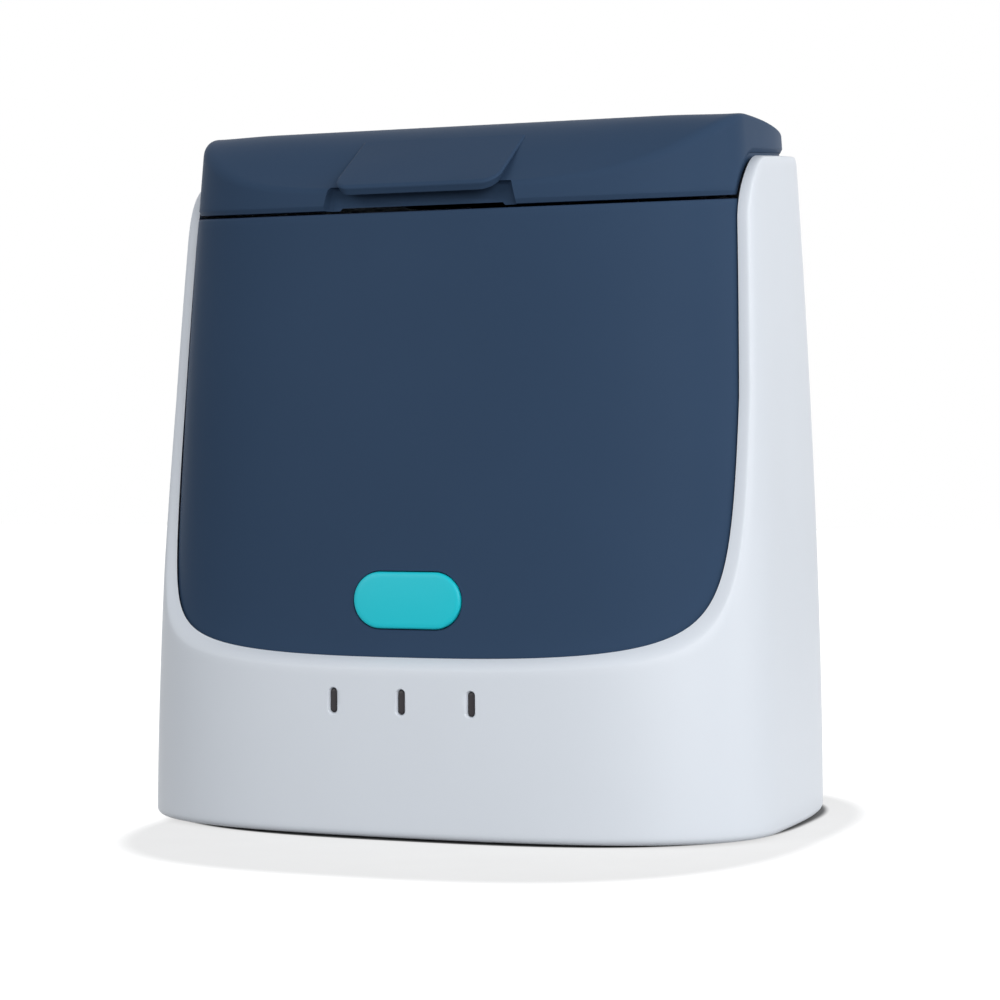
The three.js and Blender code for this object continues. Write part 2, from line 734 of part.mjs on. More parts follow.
// The small board in front of the block, which carries the light source and the light sensor.
function opticsBoard() {
  const half = optics.height / 2;
  const rear = opticsFrontY - seatGap;
  return wideBlock(optics.width, [rear - optics.board, rear], [heaterZ - half, heaterZ + half]);
}

// A round part in one of the block's two bores.
function opticsInsert(side, y0, y1) {
  return bar("y", optics.bore - seatGap, y0, y1, [(side * optics.spacing) / 2, heaterZ]);
}

function objectiveLens() {
  const radius = optics.bore - seatGap;
  const crown = (lens.thickness - lens.edge) / 2;
  const profile = [];
  for (let step = 0; step <= lensSteps; step++) {
    const share = step / lensSteps;
    profile.push([radius * share, -lens.edge / 2 - crown * (1 - share ** 2)]);
  }
  for (let step = lensSteps; step >= 0; step--) {
    const share = step / lensSteps;
    profile.push([radius * share, lens.edge / 2 + crown * (1 - share ** 2)]);
  }
  const points = profile.map(([r, y]) => new THREE.Vector2(r, y));
  const geometry = new THREE.LatheGeometry(points, roundSides);
  return solidOf(geometry.translate(-optics.spacing / 2, opticsRearY - lens.setback, heaterZ));
}

// Electronics

function mainBoardSolid() {
  const board = wideBlock(boardWidth, [boardFrontY, boardRearY], [boardBottom, boardTop]);
  const holes = boardHoles.map(({ x, y }) => bar("z", boardScrew.shank + seatGap, 0, height, [x, y]));
  return without(board, holes);
}

function powerInlet() {
  const bottom = boardTop + seatGap;
  const rear = rearFaceY(bottom, 0) - inlet.setback;
  const z = bottom + inlet.height / 2;
  const body = wideBlock(inlet.width, [rear - inlet.depth, rear], [bottom, bottom + inlet.height], inlet.x);
  const bore = bar("y", inlet.bore, rear - inlet.boreDepth, rear + overrun, [inlet.x, z]);
  const pin = bar("y", inlet.pin, rear - inlet.depth + inlet.pin, rear - inlet.pin, [inlet.x, z]);
  return body.subtract(bore).add(pin);
}

function frontBoardSolid() {
  const board = wideBlock(
    frontBoardWidth,
    [frontBoardY, frontBoardY + frontBoard.thickness],
    [indicatorZ - frontBoard.below, buttonZ + frontBoard.above],
  );
  const holes = [-frontPostX, frontPostX].map((x) => {
    return bar("y", boardScrew.shank + seatGap, -depth, depth, [x, frontPostZ]);
  });
  return without(board, holes);
}

function lightPipe(x) {
  const outline = stadium(indicator.width, indicator.height, x, indicatorZ);
  const collar = stadium(indicator.width, indicator.height, x, indicatorZ, pipeCollar.reach);
  const face = frontFaceBeside(x, indicatorZ, 0) + indicator.setback;
  const ledFront = frontBoardY - seatGap - indicatorLed.depth;
  const collarFront = frontFaceBeside(x, indicatorZ, shellWall) + pipeCollar.reach;
  return frontPrism(outline, [face, ledFront - seatGap]).add(
    frontPrism(collar, [collarFront, collarFront + pipeCollar.thickness]),
  );
}

function indicatorLedSolid(x) {
  const rear = frontBoardY - seatGap;
  const half = indicatorLed.height / 2;
  const zs = [indicatorZ - half, indicatorZ + half];
  return wideBlock(indicatorLed.width, [rear - indicatorLed.depth, rear], zs, x);
}

const flangeTopZ = buttonZ + button.height / 2 + buttonFlange.reach;
const flangeFrontY = frontFaceBeside(button.width / 2, flangeTopZ, panelInset) + seatGap;
const flangeRearY = flangeFrontY + buttonFlange.thickness;

function startButton() {
  const cap = stadium(button.width, button.height, 0, buttonZ);
  const flange = stadium(button.width, button.height, 0, buttonZ, buttonFlange.reach);
  const front = panelFrontY - button.proud;
  return frontPrism(cap, [front, flangeRearY]).add(frontPrism(flange, [flangeFrontY, flangeRearY]));
}

function buttonSwitch() {
  const rear = frontBoardY - seatGap;
  const plungerFront = flangeRearY + button.travel + keySwitch.rest;
  const bodyFront = plungerFront + keySwitch.plungerLength;
  const half = keySwitch.width / 2;
  return wideBlock(keySwitch.width, [bodyFront, rear], [buttonZ - half, buttonZ + half]).add(
    bar("y", keySwitch.plunger, plungerFront, rear, [0, buttonZ]),
  );
}

// Lid

function lidTopShape(drop, backShift) {
  const [start, low, high, end] = lidTopShares.map(sharePlace);
  const moved = ([y, z]) => [y + backShift, z - drop];
  const shape = new THREE.Shape();
  shape.moveTo(start[0] + backShift, 0);
  shape.lineTo(...moved(start));
  shape.bezierCurveTo(...moved(low), ...moved(high), ...moved(end));
  shape.lineTo(lidRearEnd, height - drop);
  shape.lineTo(lidRearEnd, 0);
  return shape;
}

// The room that the lid may fill, clear of the panel, the ears and the rim.
function lidRoom() {
  return edgeSide(true, -earGap, earGap).intersect(slopedSlab(partingMiddle, farUp));
}

const linerScrewX = linerBoss.width / 2 + linerBoss.toScrew;
const linerScrewPlaces = [
  [-linerScrewX, liner.screwY],
  [linerScrewX, liner.screwY],
];
const tabTopZ = partingMiddle + rimSlope * frontFaceY(partingMiddle, 0) + tabUnderside + tab.lip;
const bandFrontY = frontFaceY(partingMiddle, panelRecess);

function tabSolid() {
  const front = bandFrontY - tab.proud;
  const rear = front + tab.root;
  const topAt = (y) => tabTopZ + tabRiseShare * (y - front);
  const shape = new THREE.Shape();
  shape.moveTo(front, tabTopZ - tab.lip);
  shape.lineTo(rear, topAt(rear) - tab.lip);
  shape.lineTo(rear, topAt(rear));
  shape.lineTo(front + tab.corner, topAt(front + tab.corner));
  shape.quadraticCurveTo(front, tabTopZ, front, tabTopZ - tab.lip / 2);
  return sidePrism(shape, tab.width / 2);
}

function lidCover() {
  const filled = lidForm(panelRecess).intersect(sidePrism(lidTopShape(0, 0))).intersect(lidRoom());
  const hollow = bodyForm(0, height, panelInset).intersect(sidePrism(lidTopShape(lidWall, lidWall / 2)));
  const pocketTop = partingMiddle + rimSlope * bandFrontY + pocket.height;
  const pocketRear = bandFrontY + pocket.depth;
  const backing = wideBlock(
    pocket.width + 2 * pocket.wall,
    [-depth, pocketRear + pocket.wall],
    [0, pocketTop + pocket.wall],
  );
  const magnetBoss = bar("z", magnet.radius + seatGap + magnet.wall, 0, height, [magnet.x, magnet.y]);
  const cover = filled
    .subtract(hollow)
    .add(backing.add(magnetBoss).intersect(filled))
    .subtract(wideBlock(pocket.width, [-depth, pocketRear], [0, pocketTop]));
  const screwBosses = linerScrewPlaces.map((place) => {
    return bar("z", linerScrew.shank + threadWall, linerTop + seatGap, height - lidWall / 2, place);
  });
  const magnetRoof = lidMagnetBottom() + magnet.thickness + seatGap;
  return without(joined([cover, tabSolid(), hingeBarrel(), ...screwBosses]), [
    ...linerScrewPlaces.map((place) => {
      return bar("z", linerScrew.shank + pinGap, 0, linerBottom + linerScrew.length, place);
    }),
    ...[-hinge.lugX, hinge.lugX].map((x) => {
      const lugRoom = [hinge.y - hinge.radius - seatGap, depth];
      return wideBlock(hinge.lug + 2 * seatGap, lugRoom, [0, farUp], x);
    }),
    bar("z", magnet.radius + seatGap, 0, magnetRoof, [magnet.x, magnet.y]),
    bar("x", hinge.pin + pinGap, -span, span, [hinge.y, hingeZ]),
  ]);
}

// The round barrel at the lid's rear and the plate that joins it to the lid.
function hingeBarrel() {
  const plate = wideBlock(2 * hinge.halfLength, [0, hinge.y], [height - lidWall, height]);
  return plate.add(bar("x", hinge.radius, -hinge.halfLength, hinge.halfLength, [hinge.y, hingeZ]));
}

function lidMagnetBottom() {
  return partingMiddle + rimSlope * (magnet.y + magnet.radius) + seatGap;
}

function lidLiner() {
  const room = block([-span, span], [liner.frontY, liner.rearY], [linerBottom, linerTop]);
  const half = linerBoss.depth / 2;
  const boss = wideBlock(linerBoss.width, [-half, half], [linerBottom - linerBoss.length, linerTop]);
  const plate = bodyForm(0, height, liner.inset).intersect(room).add(boss);
  const holes = linerScrewPlaces.map((place) => bar("z", linerScrew.shank + seatGap, 0, height, place));
  return without(plate, holes);
}

const pressPlateTop = linerBottom - linerBoss.length - seatGap;

function pressPlateSolid() {
  const half = pressPlate.depth / 2;
  return wideBlock(pressPlate.width, [-half, half], [pressPlateTop - pressPlate.thickness, pressPlateTop]);
}

function pressPadSolid() {
  const half = pressPad.depth / 2;
  const top = pressPlateTop - pressPlate.thickness - seatGap;
  return wideBlock(pressPad.width, [-half, half], [top - pressPad.thickness, top]);
}

function lidMagnet() {
  const bottom = lidMagnetBottom();
  return bar("z", magnet.radius, bottom, bottom + magnet.thickness, [magnet.x, magnet.y]);
}

function deckMagnet() {
  const bottom = deckTopAt(magnet.y) - magnet.thickness;
  return bar("z", magnet.radius, bottom, bottom + magnet.thickness - seatGap, [magnet.x, magnet.y]);
}

function hingePin(side) {
  const x = side * hinge.lugX;
  const half = hinge.pinLength / 2;
  return bar("x", hinge.pin, x - half, x + half, [hinge.y, hingeZ]);
}

// Finishes

const finishes = {
  shell: { color: 0xe4e8ed, roughness: 0.42, metalness: 0 },
  navy: { color: 0x33435b, roughness: 0.55, metalness: 0 },
  button: { color: 0x34b8c6, roughness: 0.35, metalness: 0 },
  inner: { color: 0x3a3e45, roughness: 0.6, metalness: 0 },
  rubber: { color: 0x1d1e20, roughness: 0.85, metalness: 0 },
  steel: { color: 0xb9bcc0, roughness: 0.3, metalness: 1 },
  aluminium: { color: 0xc9ccd1, roughness: 0.4, metalness: 1 },
  board: { color: 0x1f6b45, roughness: 0.5, metalness: 0 },
  ceramic: { color: 0xeeeeea, roughness: 0.5, metalness: 0 },
  foam: { color: 0x8a8f96, roughness: 0.95, metalness: 0 },
  black: { color: 0x151618, roughness: 0.5, metalness: 0 },
  window: { color: 0x443e42, roughness: 0.2, metalness: 0 },
  glass: { color: 0xbfd4dc, roughness: 0.05, metalness: 0 },
  amber: { color: 0xc98a2c, roughness: 0.1, metalness: 0 },
};

const device = new THREE.Group();

function addPiece(name, finish, solid) {
  const mesh = solid.getMesh();
  const geometry = new THREE.BufferGeometry();
  geometry.setAttribute("position", new THREE.BufferAttribute(mesh.vertProperties, mesh.numProp));
  geometry.setIndex(new THREE.BufferAttribute(mesh.triVerts, 1));
  geometry.computeVertexNormals();
  const piece = new THREE.Mesh(geometry, new THREE.MeshStandardMaterial(finishes[finish]));
  piece.name = name;
  device.add(piece);
}

// Assembly

addPiece("outer_shell", "shell", outerShell());
addPiece("front_panel", "navy", frontPanel());
addPiece("base_plate", "inner", basePlate());
for (const { name, x, y } of feet) {
  addPiece("foot_" + name, "rubber", rubberFoot(x, y));
}
for (const { name, x, y } of basePosts) {
  const seat = baseRise + baseScrew.headHeight - seatGap;
  addPiece("base_screw_" + name, "steel", screwSolid(baseScrew, x, y, seat, false));
}

addPiece("top_deck", "inner", topDeck());
for (const { name, x, y } of deckPosts) {
  addPiece("deck_screw_" + name, "steel", screwSolid(deckScrew, x, y, deckScrewSeat(y) + seatGap, true));
}
addPiece("hinge_pin_left", "steel", hingePin(-1));
addPiece("hinge_pin_right", "steel", hingePin(1));
addPiece("deck_magnet", "steel", deckMagnet());

addPiece("cartridge_guide", "black", cartridgeGuide());
addPiece("heater_block", "aluminium", heaterBlock());
addPiece("temperature_sensor", "steel", temperatureSensor());
addPiece("peltier_module", "ceramic", peltierModule());
addPiece("insulation_frame", "foam", insulationFrame());
addPiece("heat_sink", "aluminium", heatSinkSolid());
addPiece("fan_frame", "black", fanFrame());
addPiece("fan_rotor", "black", fanRotor());

addPiece("optics_block", "black", opticsBlock());
addPiece("optics_board", "board", opticsBoard());
addPiece("excitation_led", "glass", opticsInsert(-1, opticsFrontY, opticsFrontY + emitter.length));
addPiece("objective_lens", "glass", objectiveLens());
addPiece("light_sensor", "black", opticsInsert(1, opticsFrontY, opticsFrontY + sensor.length));
const filterRearY = opticsRearY - filter.setback;
addPiece("emission_filter", "amber", opticsInsert(1, filterRearY - filter.thickness, filterRearY));

addPiece("main_board", "board", mainBoardSolid());
for (const { name, x, y } of boardHoles) {
  addPiece("board_screw_" + name, "steel", screwSolid(boardScrew, x, y, boardTop + seatGap, true));
}
addPiece("power_inlet", "black", powerInlet());
addPiece("front_board", "board", frontBoardSolid());
const frontScrewSeat = frontBoardY + frontBoard.thickness + seatGap;
for (const [place, name] of ["left", "right"].entries()) {
  const x = frontPostX * (2 * place - 1);
  addPiece("front_board_screw_" + name, "steel", screwAlongY(boardScrew, x, frontScrewSeat, frontPostZ));
}
for (const [place, name] of ["left", "middle", "right"].entries()) {
  const x = (place - 1) * indicator.pitch;
  addPiece("light_pipe_" + name, "window", lightPipe(x));
  addPiece("indicator_led_" + name, "ceramic", indicatorLedSolid(x));
}
addPiece("button_switch", "black", buttonSwitch());
addPiece("start_button", "button", startButton());

addPiece("lid_cover", "navy", lidCover());
addPiece("lid_liner", "inner", lidLiner());
addPiece("lid_press_plate", "aluminium", pressPlateSolid());
addPiece("lid_press_pad", "rubber", pressPadSolid());
addPiece("lid_magnet", "steel", lidMagnet());
for (const [place, name] of ["left", "right"].entries()) {
  const [x, y] = linerScrewPlaces[place];
  addPiece("lid_screw_" + name, "steel", screwSolid(linerScrew, x, y, linerBottom - seatGap, false));
}

export default device;
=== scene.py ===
"""Looks of the point-of-care PCR device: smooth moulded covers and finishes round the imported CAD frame."""

import json  # noqa: E402
import math  # noqa: E402

import bmesh  # noqa: E402
import bpy  # noqa: E402
import numpy as np  # noqa: E402
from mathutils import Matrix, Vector  # noqa: E402


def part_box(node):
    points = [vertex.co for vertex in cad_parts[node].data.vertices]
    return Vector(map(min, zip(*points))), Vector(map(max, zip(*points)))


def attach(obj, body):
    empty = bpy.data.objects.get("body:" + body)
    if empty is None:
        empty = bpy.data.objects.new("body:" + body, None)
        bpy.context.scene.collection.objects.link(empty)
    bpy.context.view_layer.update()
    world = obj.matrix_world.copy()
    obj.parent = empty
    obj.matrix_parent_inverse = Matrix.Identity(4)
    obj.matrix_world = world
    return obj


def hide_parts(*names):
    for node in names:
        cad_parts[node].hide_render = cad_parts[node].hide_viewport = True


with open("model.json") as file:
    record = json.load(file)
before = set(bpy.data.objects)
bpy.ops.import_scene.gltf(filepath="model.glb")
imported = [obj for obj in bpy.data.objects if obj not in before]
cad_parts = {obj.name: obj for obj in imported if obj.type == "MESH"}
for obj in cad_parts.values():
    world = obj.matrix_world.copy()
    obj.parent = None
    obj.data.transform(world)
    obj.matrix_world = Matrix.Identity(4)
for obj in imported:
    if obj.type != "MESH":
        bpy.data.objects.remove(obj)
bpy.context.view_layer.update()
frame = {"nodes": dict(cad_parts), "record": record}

MM = 0.001
WELD_DISTANCE = 2e-6

# Overall form, in millimetres: a rounded plan that is drawn in towards the top. The front is at -Y
WIDTH = 112
HEIGHT = 120
WIDEST_Y = -16.5  # where the plan is widest
FRONT_DEPTH = 31  # from there to the front
REAR_DEPTH = 64
FRONT_EXPONENT = (2.66, 2.3)  # of the plan's curve, at the foot and at the top: 2 is an ellipse
REAR_EXPONENT = 3.24
SIDE_DRAW = 4.75  # how far the sides lean in at the top
FRONT_DRAW = 5.9
DRAW_POWER = 1.65

WALL = 1.9
SHELL_FOOT = 0.4
PANEL_INSET = 2.2  # how far the panel and the lid lie behind the shell's face
PANEL_WALL = 2
PANEL_TOP = 107.32
RIM_MIDDLE = 114.37
SLOPE = 0.11  # of the rim, the panel's top and the lid's foot, rising to the rear

# The shell's edge in side view, as (y, z): a curve across the front, a line up the ear, a curve into the rim
CUT_CURVE = [(-47.5, 28.956), (-30.875, 33.13), (-29.77, 41.7), (-25.4, 72)]
EAR_CURVE = [(-22.9, 101), (-22.2, 108.2), (-17.6, 112), (-12.5, 112.995)]

# The round of that edge, as distance behind the edge and depth. Below the panel it falls to a soft crease, and beside
# the panel it is a small round before a face that runs straight through the wall
EDGE_FRONT = ([(2.8, 0), (1.9, 0), (1.35, 0.08)], [(1.35, 0.08), (0.5, 0.35), (0, WALL)])
EDGE_SIDE = ([(2.2, 0), (0.9, 0), (0.35, 0.22)], [(0.35, 0.22), (0.05, 0.36), (0, WALL)])
EDGE_CHANGE = (30.5, 40)  # heights between which the first turns into the second
EDGE_STEPS = 1500


# The body's curved surface


def draw_share(z):
    return np.clip(np.asarray(z, float) / HEIGHT, 0, None) ** DRAW_POWER


def in_millimetres(corners):
    return [v / MM for v in corners]


def reaches(z, inset, front):
    """Half width, reach to the front or the rear, and the plan curve's exponent."""
    share = draw_share(z)
    half = WIDTH / 2 - SIDE_DRAW * share - inset
    forward = FRONT_DEPTH - FRONT_DRAW * share - inset
    back = REAR_DEPTH - SIDE_DRAW * share - inset
    exponent = FRONT_EXPONENT[0] + (FRONT_EXPONENT[1] - FRONT_EXPONENT[0]) * share
    return half, np.where(front, forward, back), np.where(front, exponent, REAR_EXPONENT)


def surface(angle, z, inset):
    """Points of the body's surface; the angle is 0 at the right-hand side and -90 degrees at the front."""
    angle, z, inset = np.broadcast_arrays(*(np.asarray(v, float) for v in (angle, z, inset)))
    half, reach, exponent = reaches(z, inset, np.sin(angle) < 0)
    c, s = np.cos(angle), np.sin(angle)
    x = half * np.sign(c) * np.abs(c) ** (2 / exponent)
    y = WIDEST_Y + reach * np.sign(s) * np.abs(s) ** (2 / exponent)
    return np.stack([x, y, z], axis=-1)


def angle_at(y, z, inset=0.0):
    """The right-hand side's angle where the surface passes a given depth."""
    y, z = np.broadcast_arrays(np.asarray(y, float), np.asarray(z, float))
    _, reach, exponent = reaches(z, inset, y < WIDEST_Y)
    sine = np.clip(np.abs(y - WIDEST_Y) / reach, 0, 1) ** (exponent / 2)
    return np.sign(y - WIDEST_Y) * np.arcsin(sine)


def steps_along(points):
    """The distance from a line's first point to each of its points."""
    return np.concatenate([[0], np.cumsum(np.linalg.norm(np.diff(points, axis=0), axis=1))])


def plan_table():
    """Even steps along the right half of the plan curve, as angles."""
    steps = 2001
    even = np.linspace(0, 1, steps)
    near_front = -math.pi / 2 + math.pi / 4 * even[:-1] ** 3
    near_side = -math.pi / 4 * (1 - even) ** 3
    front = np.concatenate([near_front, near_side])
    right = np.concatenate([front, -front[-2::-1]])
    along = steps_along(surface(right, HEIGHT / 2, 0))
    return along / along[-1], right


PLAN_SHARES, PLAN_ANGLES = plan_table()


def share_of(angle):
    return np.interp(angle, PLAN_ANGLES, PLAN_SHARES)


def angle_of(share):
    return np.interp(share, PLAN_SHARES, PLAN_ANGLES)


def bezier(points, t):
    """A Bezier curve of any degree at the given shares of its length parameter."""
    layers = [np.asarray(p, float)[None, :] * np.ones((len(t), 1)) for p in points]
    while len(layers) > 1:
        layers = [a * (1 - t)[:, None] + b * t[:, None] for a, b in zip(layers, layers[1:])]
    return layers[0]


def rim_height(y):
    return RIM_MIDDLE + SLOPE * np.asarray(y, float)


def evenly(points, count, *values):
    """Values that belong to a line of points, taken again at even distances along it."""
    along, index = steps_along(points), np.arange(len(points))
    places = np.interp(np.linspace(0, along[-1], count), along, index)
    return [np.interp(places, index, v) for v in values]


def smooth(share):
    """Eases a share from 0 to 1 at both ends."""
    share = np.clip(share, 0, 1)
    return share * share * (3 - 2 * share)


def ear_line(count):
    """The shell's edge up the ear and into the rim, as (y, z)."""
    t = np.linspace(0, 1, count)
    return np.concatenate([bezier([CUT_CURVE[-1], EAR_CURVE[0]], t), bezier(EAR_CURVE, t)])


def front_and_ear_line(count):
    return np.concatenate([bezier(CUT_CURVE, np.linspace(0, 1, count)), ear_line(count)])


def shell_edge(count):
    """The shell's edge on the right-hand side, from the front's middle to the rear's middle: angles and heights."""
    t = np.linspace(0, 1, EDGE_STEPS)
    rear_end = float(surface(math.pi / 2, HEIGHT, 0)[1])
    rim_y = EAR_CURVE[-1][0] + (rear_end - EAR_CURVE[-1][0]) * (1 - (1 - t) ** 3)
    rim = np.stack([rim_y, rim_height(rim_y)], axis=1)
    line = np.concatenate([bezier(CUT_CURVE, t**2), ear_line(EDGE_STEPS)[1:], rim[1:]])
    line = line[line[:, 0] >= surface(-math.pi / 2, line[:, 1], 0)[:, 1]]
    angles = angle_at(line[:, 0], line[:, 1])
    angles[0], angles[-1] = -math.pi / 2, math.pi / 2
    return evenly(surface(angles, line[:, 1], 0), count, angles, line[:, 1])


# Meshes


def new_object(name, data):
    made = bpy.data.objects.new(name, data)
    bpy.context.scene.collection.objects.link(made)
    return made


def scratch(name, points, faces):
    """A mesh object from points in millimetres; by itself it is a helper solid for a boolean."""
    mesh = bpy.data.meshes.new(name)
    mesh.from_pydata([tuple(p) for p in np.asarray(points, float) * MM], [], faces)
    made = new_object(name, mesh)
    clean(made)
    return made


def add_object(name, points, faces, body, material):
    """A smooth-shaded piece that rides on a body."""
    made = scratch(name, points, faces)
    finish_mesh(made, material)
    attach(made, body)
    return made


def clean(made):
    """Welds points that coincide and turns every face outwards."""
    work = bmesh.new()
    work.from_mesh(made.data)
    bmesh.ops.remove_doubles(work, verts=work.verts, dist=WELD_DISTANCE)
    bmesh.ops.dissolve_degenerate(work, edges=work.edges, dist=WELD_DISTANCE / 4)
    bmesh.ops.recalc_face_normals(work, faces=work.faces)
    work.to_mesh(made.data)
    work.free()


def finish_mesh(made, material, sharp=35):
    """Smooth shading, with a crease where faces meet at more than an angle in degrees, and one material."""
    made.data.shade_smooth()
    made.data.set_sharp_from_angle(angle=math.radians(sharp))
    made.data.materials.clear()
    made.data.materials.append(material)


def grid_faces(rows, columns, closed_rows=False, closed_columns=False):
    """Quads between neighbouring points of a grid that is stored row by row."""
    faces = []
    for r in range(rows if closed_rows else rows - 1):
        above = (r + 1) % rows
        for c in range(columns if closed_columns else columns - 1):
            beside = (c + 1) % columns
            faces.append((r * columns + c, r * columns + beside, above * columns + beside, above * columns + c))
    return faces


def both_halves(half):
    """A ring from the right half's rows of points: the left half is its mirror image."""
    mirrored = half[:, -2:0:-1] * (-1, 1, 1)
    return np.concatenate([half, mirrored], axis=1)


def combine(target, other, operation):
    """Applies a boolean of one mesh object on another, which is then removed."""
    modifier = target.modifiers.new("combine", "BOOLEAN")
    modifier.operation = operation
    modifier.solver = "EXACT"
    modifier.object = other
    bpy.context.view_layer.update()
    evaluated = target.evaluated_get(bpy.context.evaluated_depsgraph_get())
    mesh = bpy.data.meshes.new_from_object(evaluated)
    target.modifiers.clear()
    old = target.data
    target.data = mesh
    bpy.data.meshes.remove(old)
    bpy.data.objects.remove(other)


def loft(name, rings, make=scratch, **how):
    """A closed solid through rings with the same number of points, capped at both ends."""
    rings = np.asarray(rings, float)
    rows, columns = rings.shape[:2]
    faces = grid_faces(rows, columns, closed_columns=True)
    faces.append(tuple(range(columns))[::-1])
    faces.append(tuple(range((rows - 1) * columns, rows * columns)))
    return make(name, rings.reshape(-1, 3), faces, **how)


def stadium_ring(width, height, steps=48):
    """Outline of a stadium in its own plane, with the long side along the larger size."""
    radius = min(width, height) / 2
    turn = np.linspace(0, 2 * math.pi, steps, endpoint=False) + math.pi / steps
    shift_x = np.where(np.cos(turn) > 0, 1, -1) * (width / 2 - radius)
    shift_z = np.where(np.sin(turn) > 0, 1, -1) * (height / 2 - radius)
    return np.stack([shift_x + radius * np.cos(turn), shift_z + radius * np.sin(turn)], axis=1)


def front_ring(outline, x, y, z):
    """An outline of (x, z) points, set upright at a depth."""
    return np.stack([outline[:, 0] + x, np.full(len(outline), float(y)), outline[:, 1] + z], axis=1)


# Node materials


def new_material(name):
    material = bpy.data.materials.new(name)
    material.use_nodes = True
    nodes = material.node_tree.nodes
    return material, nodes, material.node_tree.links, nodes["Principled BSDF"]


def set_inputs(node, values):
    for name, value in values.items():
        node.inputs[name].default_value = value


def object_place(nodes):
    """A piece's own coordinates, in metres."""
    return nodes.new("ShaderNodeTexCoord").outputs["Object"]


def noise(nodes, links, coordinates, scale, detail=3.0, roughness=0.55):
    made = nodes.new("ShaderNodeTexNoise")
    set_inputs(made, {"Scale": scale, "Detail": detail, "Roughness": roughness})
    links.new(coordinates, made.inputs["Vector"])
    return made.outputs["Fac"]


def spread(nodes, links, value, low, high):
    """Maps a 0..1 value to a range."""
    made = nodes.new("ShaderNodeMapRange")
    set_inputs(made, {"To Min": low, "To Max": high})
    links.new(value, made.inputs["Value"])
    return made.outputs["Result"]


def tone(nodes, links, value, dark, light, low=0.3, high=0.7):
    made = nodes.new("ShaderNodeValToRGB")
    made.color_ramp.elements[0].position = low
    made.color_ramp.elements[1].position = high
    made.color_ramp.elements[0].color = (*dark, 1)
    made.color_ramp.elements[1].color = (*light, 1)
    links.new(value, made.inputs["Fac"])
    return made.outputs["Color"]


def bump(nodes, links, value, strength, distance):
    made = nodes.new("ShaderNodeBump")
    set_inputs(made, {"Strength": strength, "Distance": distance})
    links.new(value, made.inputs["Height"])
    return made.outputs["Normal"]


def linear(colour):
    """Linear values from the 0..255 values that a picture shows."""
    share = np.asarray(colour, float) / 255
    return tuple(np.where(share <= 0.04045, share / 12.92, ((share + 0.055) / 1.055) ** 2.4))


DRIFT_SCALE = 22.0
RUBBED_SCALE = 70.0
METAL_LINES = 900.0
GRAIN_DEPTH = 0.00004  # in metres, as are the other depths of a relief
LINE_DEPTH = 0.00003
TRACK_DEPTH = 0.00005
PORE_DEPTH = 0.0001


def drifting(nodes, links, value, colour, darker, lighter):
    """A colour, given as a picture shows it, that varies between a darker and a lighter share of itself."""
    base = np.array(linear(colour))
    return tone(nodes, links, value, base * darker, np.minimum(base * lighter, 1))


def moulded(name, colour, roughness, grain, relief, drift, specular=0.5):
    """Moulded plastic: a fine spark-eroded grain, a slow drift of tone, and faint rubbed areas."""
    material, nodes, links, shader = new_material(name)
    place = object_place(nodes)
    slow = noise(nodes, links, place, DRIFT_SCALE)
    links.new(drifting(nodes, links, slow, colour, 1 - drift, 1 + drift), shader.inputs["Base Color"])
    rubbed = noise(nodes, links, place, RUBBED_SCALE, 6.0, 0.7)
    links.new(spread(nodes, links, rubbed, roughness - 0.05, roughness + 0.06), shader.inputs["Roughness"])
    fine = noise(nodes, links, place, grain, 2.0)
    links.new(bump(nodes, links, fine, relief, GRAIN_DEPTH), shader.inputs["Normal"])
    shader.inputs["Specular IOR Level"].default_value = specular
    return material


def metal(name, colour, roughness, stretch):
    """Metal with fine machining lines along one direction and slightly uneven polish."""
    material, nodes, links, shader = new_material(name)
    shader.inputs["Metallic"].default_value = 1.0
    mapping = nodes.new("ShaderNodeMapping")
    mapping.inputs["Scale"].default_value = stretch
    links.new(object_place(nodes), mapping.inputs["Vector"])
    lines = noise(nodes, links, mapping.outputs["Vector"], METAL_LINES)
    links.new(drifting(nodes, links, lines, colour, 0.88, 1.06), shader.inputs["Base Color"])
    links.new(spread(nodes, links, lines, roughness - 0.08, roughness + 0.12), shader.inputs["Roughness"])
    links.new(bump(nodes, links, lines, 0.15, LINE_DEPTH), shader.inputs["Normal"])
    return material


def board_finish(name):
    """Solder mask over copper: straight tracks on a 2.5 mm pitch, and round pads."""
    material, nodes, links, shader = new_material(name)
    place = object_place(nodes)
    cells = nodes.new("ShaderNodeTexVoronoi")
    cells.distance = "MANHATTAN"
    set_inputs(cells, {"Scale": 260.0, "Randomness": 0.55})
    links.new(place, cells.inputs["Vector"])
    tracks = tone(nodes, links, cells.outputs["Distance"], (0.012, 0.11, 0.05), (0.02, 0.17, 0.085), 0.35, 0.42)
    links.new(tracks, shader.inputs["Base Color"])
    wear = noise(nodes, links, place, 400.0)
    links.new(spread(nodes, links, wear, 0.28, 0.42), shader.inputs["Roughness"])
    links.new(bump(nodes, links, cells.outputs["Distance"], 0.2, TRACK_DEPTH), shader.inputs["Normal"])
    return material


def foam_finish(name):
    """Closed-cell foam: small round pores and a soft, uneven tone."""
    material, nodes, links, shader = new_material(name)
    place = object_place(nodes)
    pores = nodes.new("ShaderNodeTexVoronoi")
    pores.inputs["Scale"].default_value = 1400.0
    links.new(place, pores.inputs["Vector"])
    shade = tone(nodes, links, pores.outputs["Distance"], (0.12, 0.125, 0.135), (0.3, 0.31, 0.33), 0.05, 0.5)
    links.new(shade, shader.inputs["Base Color"])
    links.new(bump(nodes, links, pores.outputs["Distance"], 0.5, PORE_DEPTH), shader.inputs["Normal"])
    shader.inputs["Roughness"].default_value = 0.95
    return material


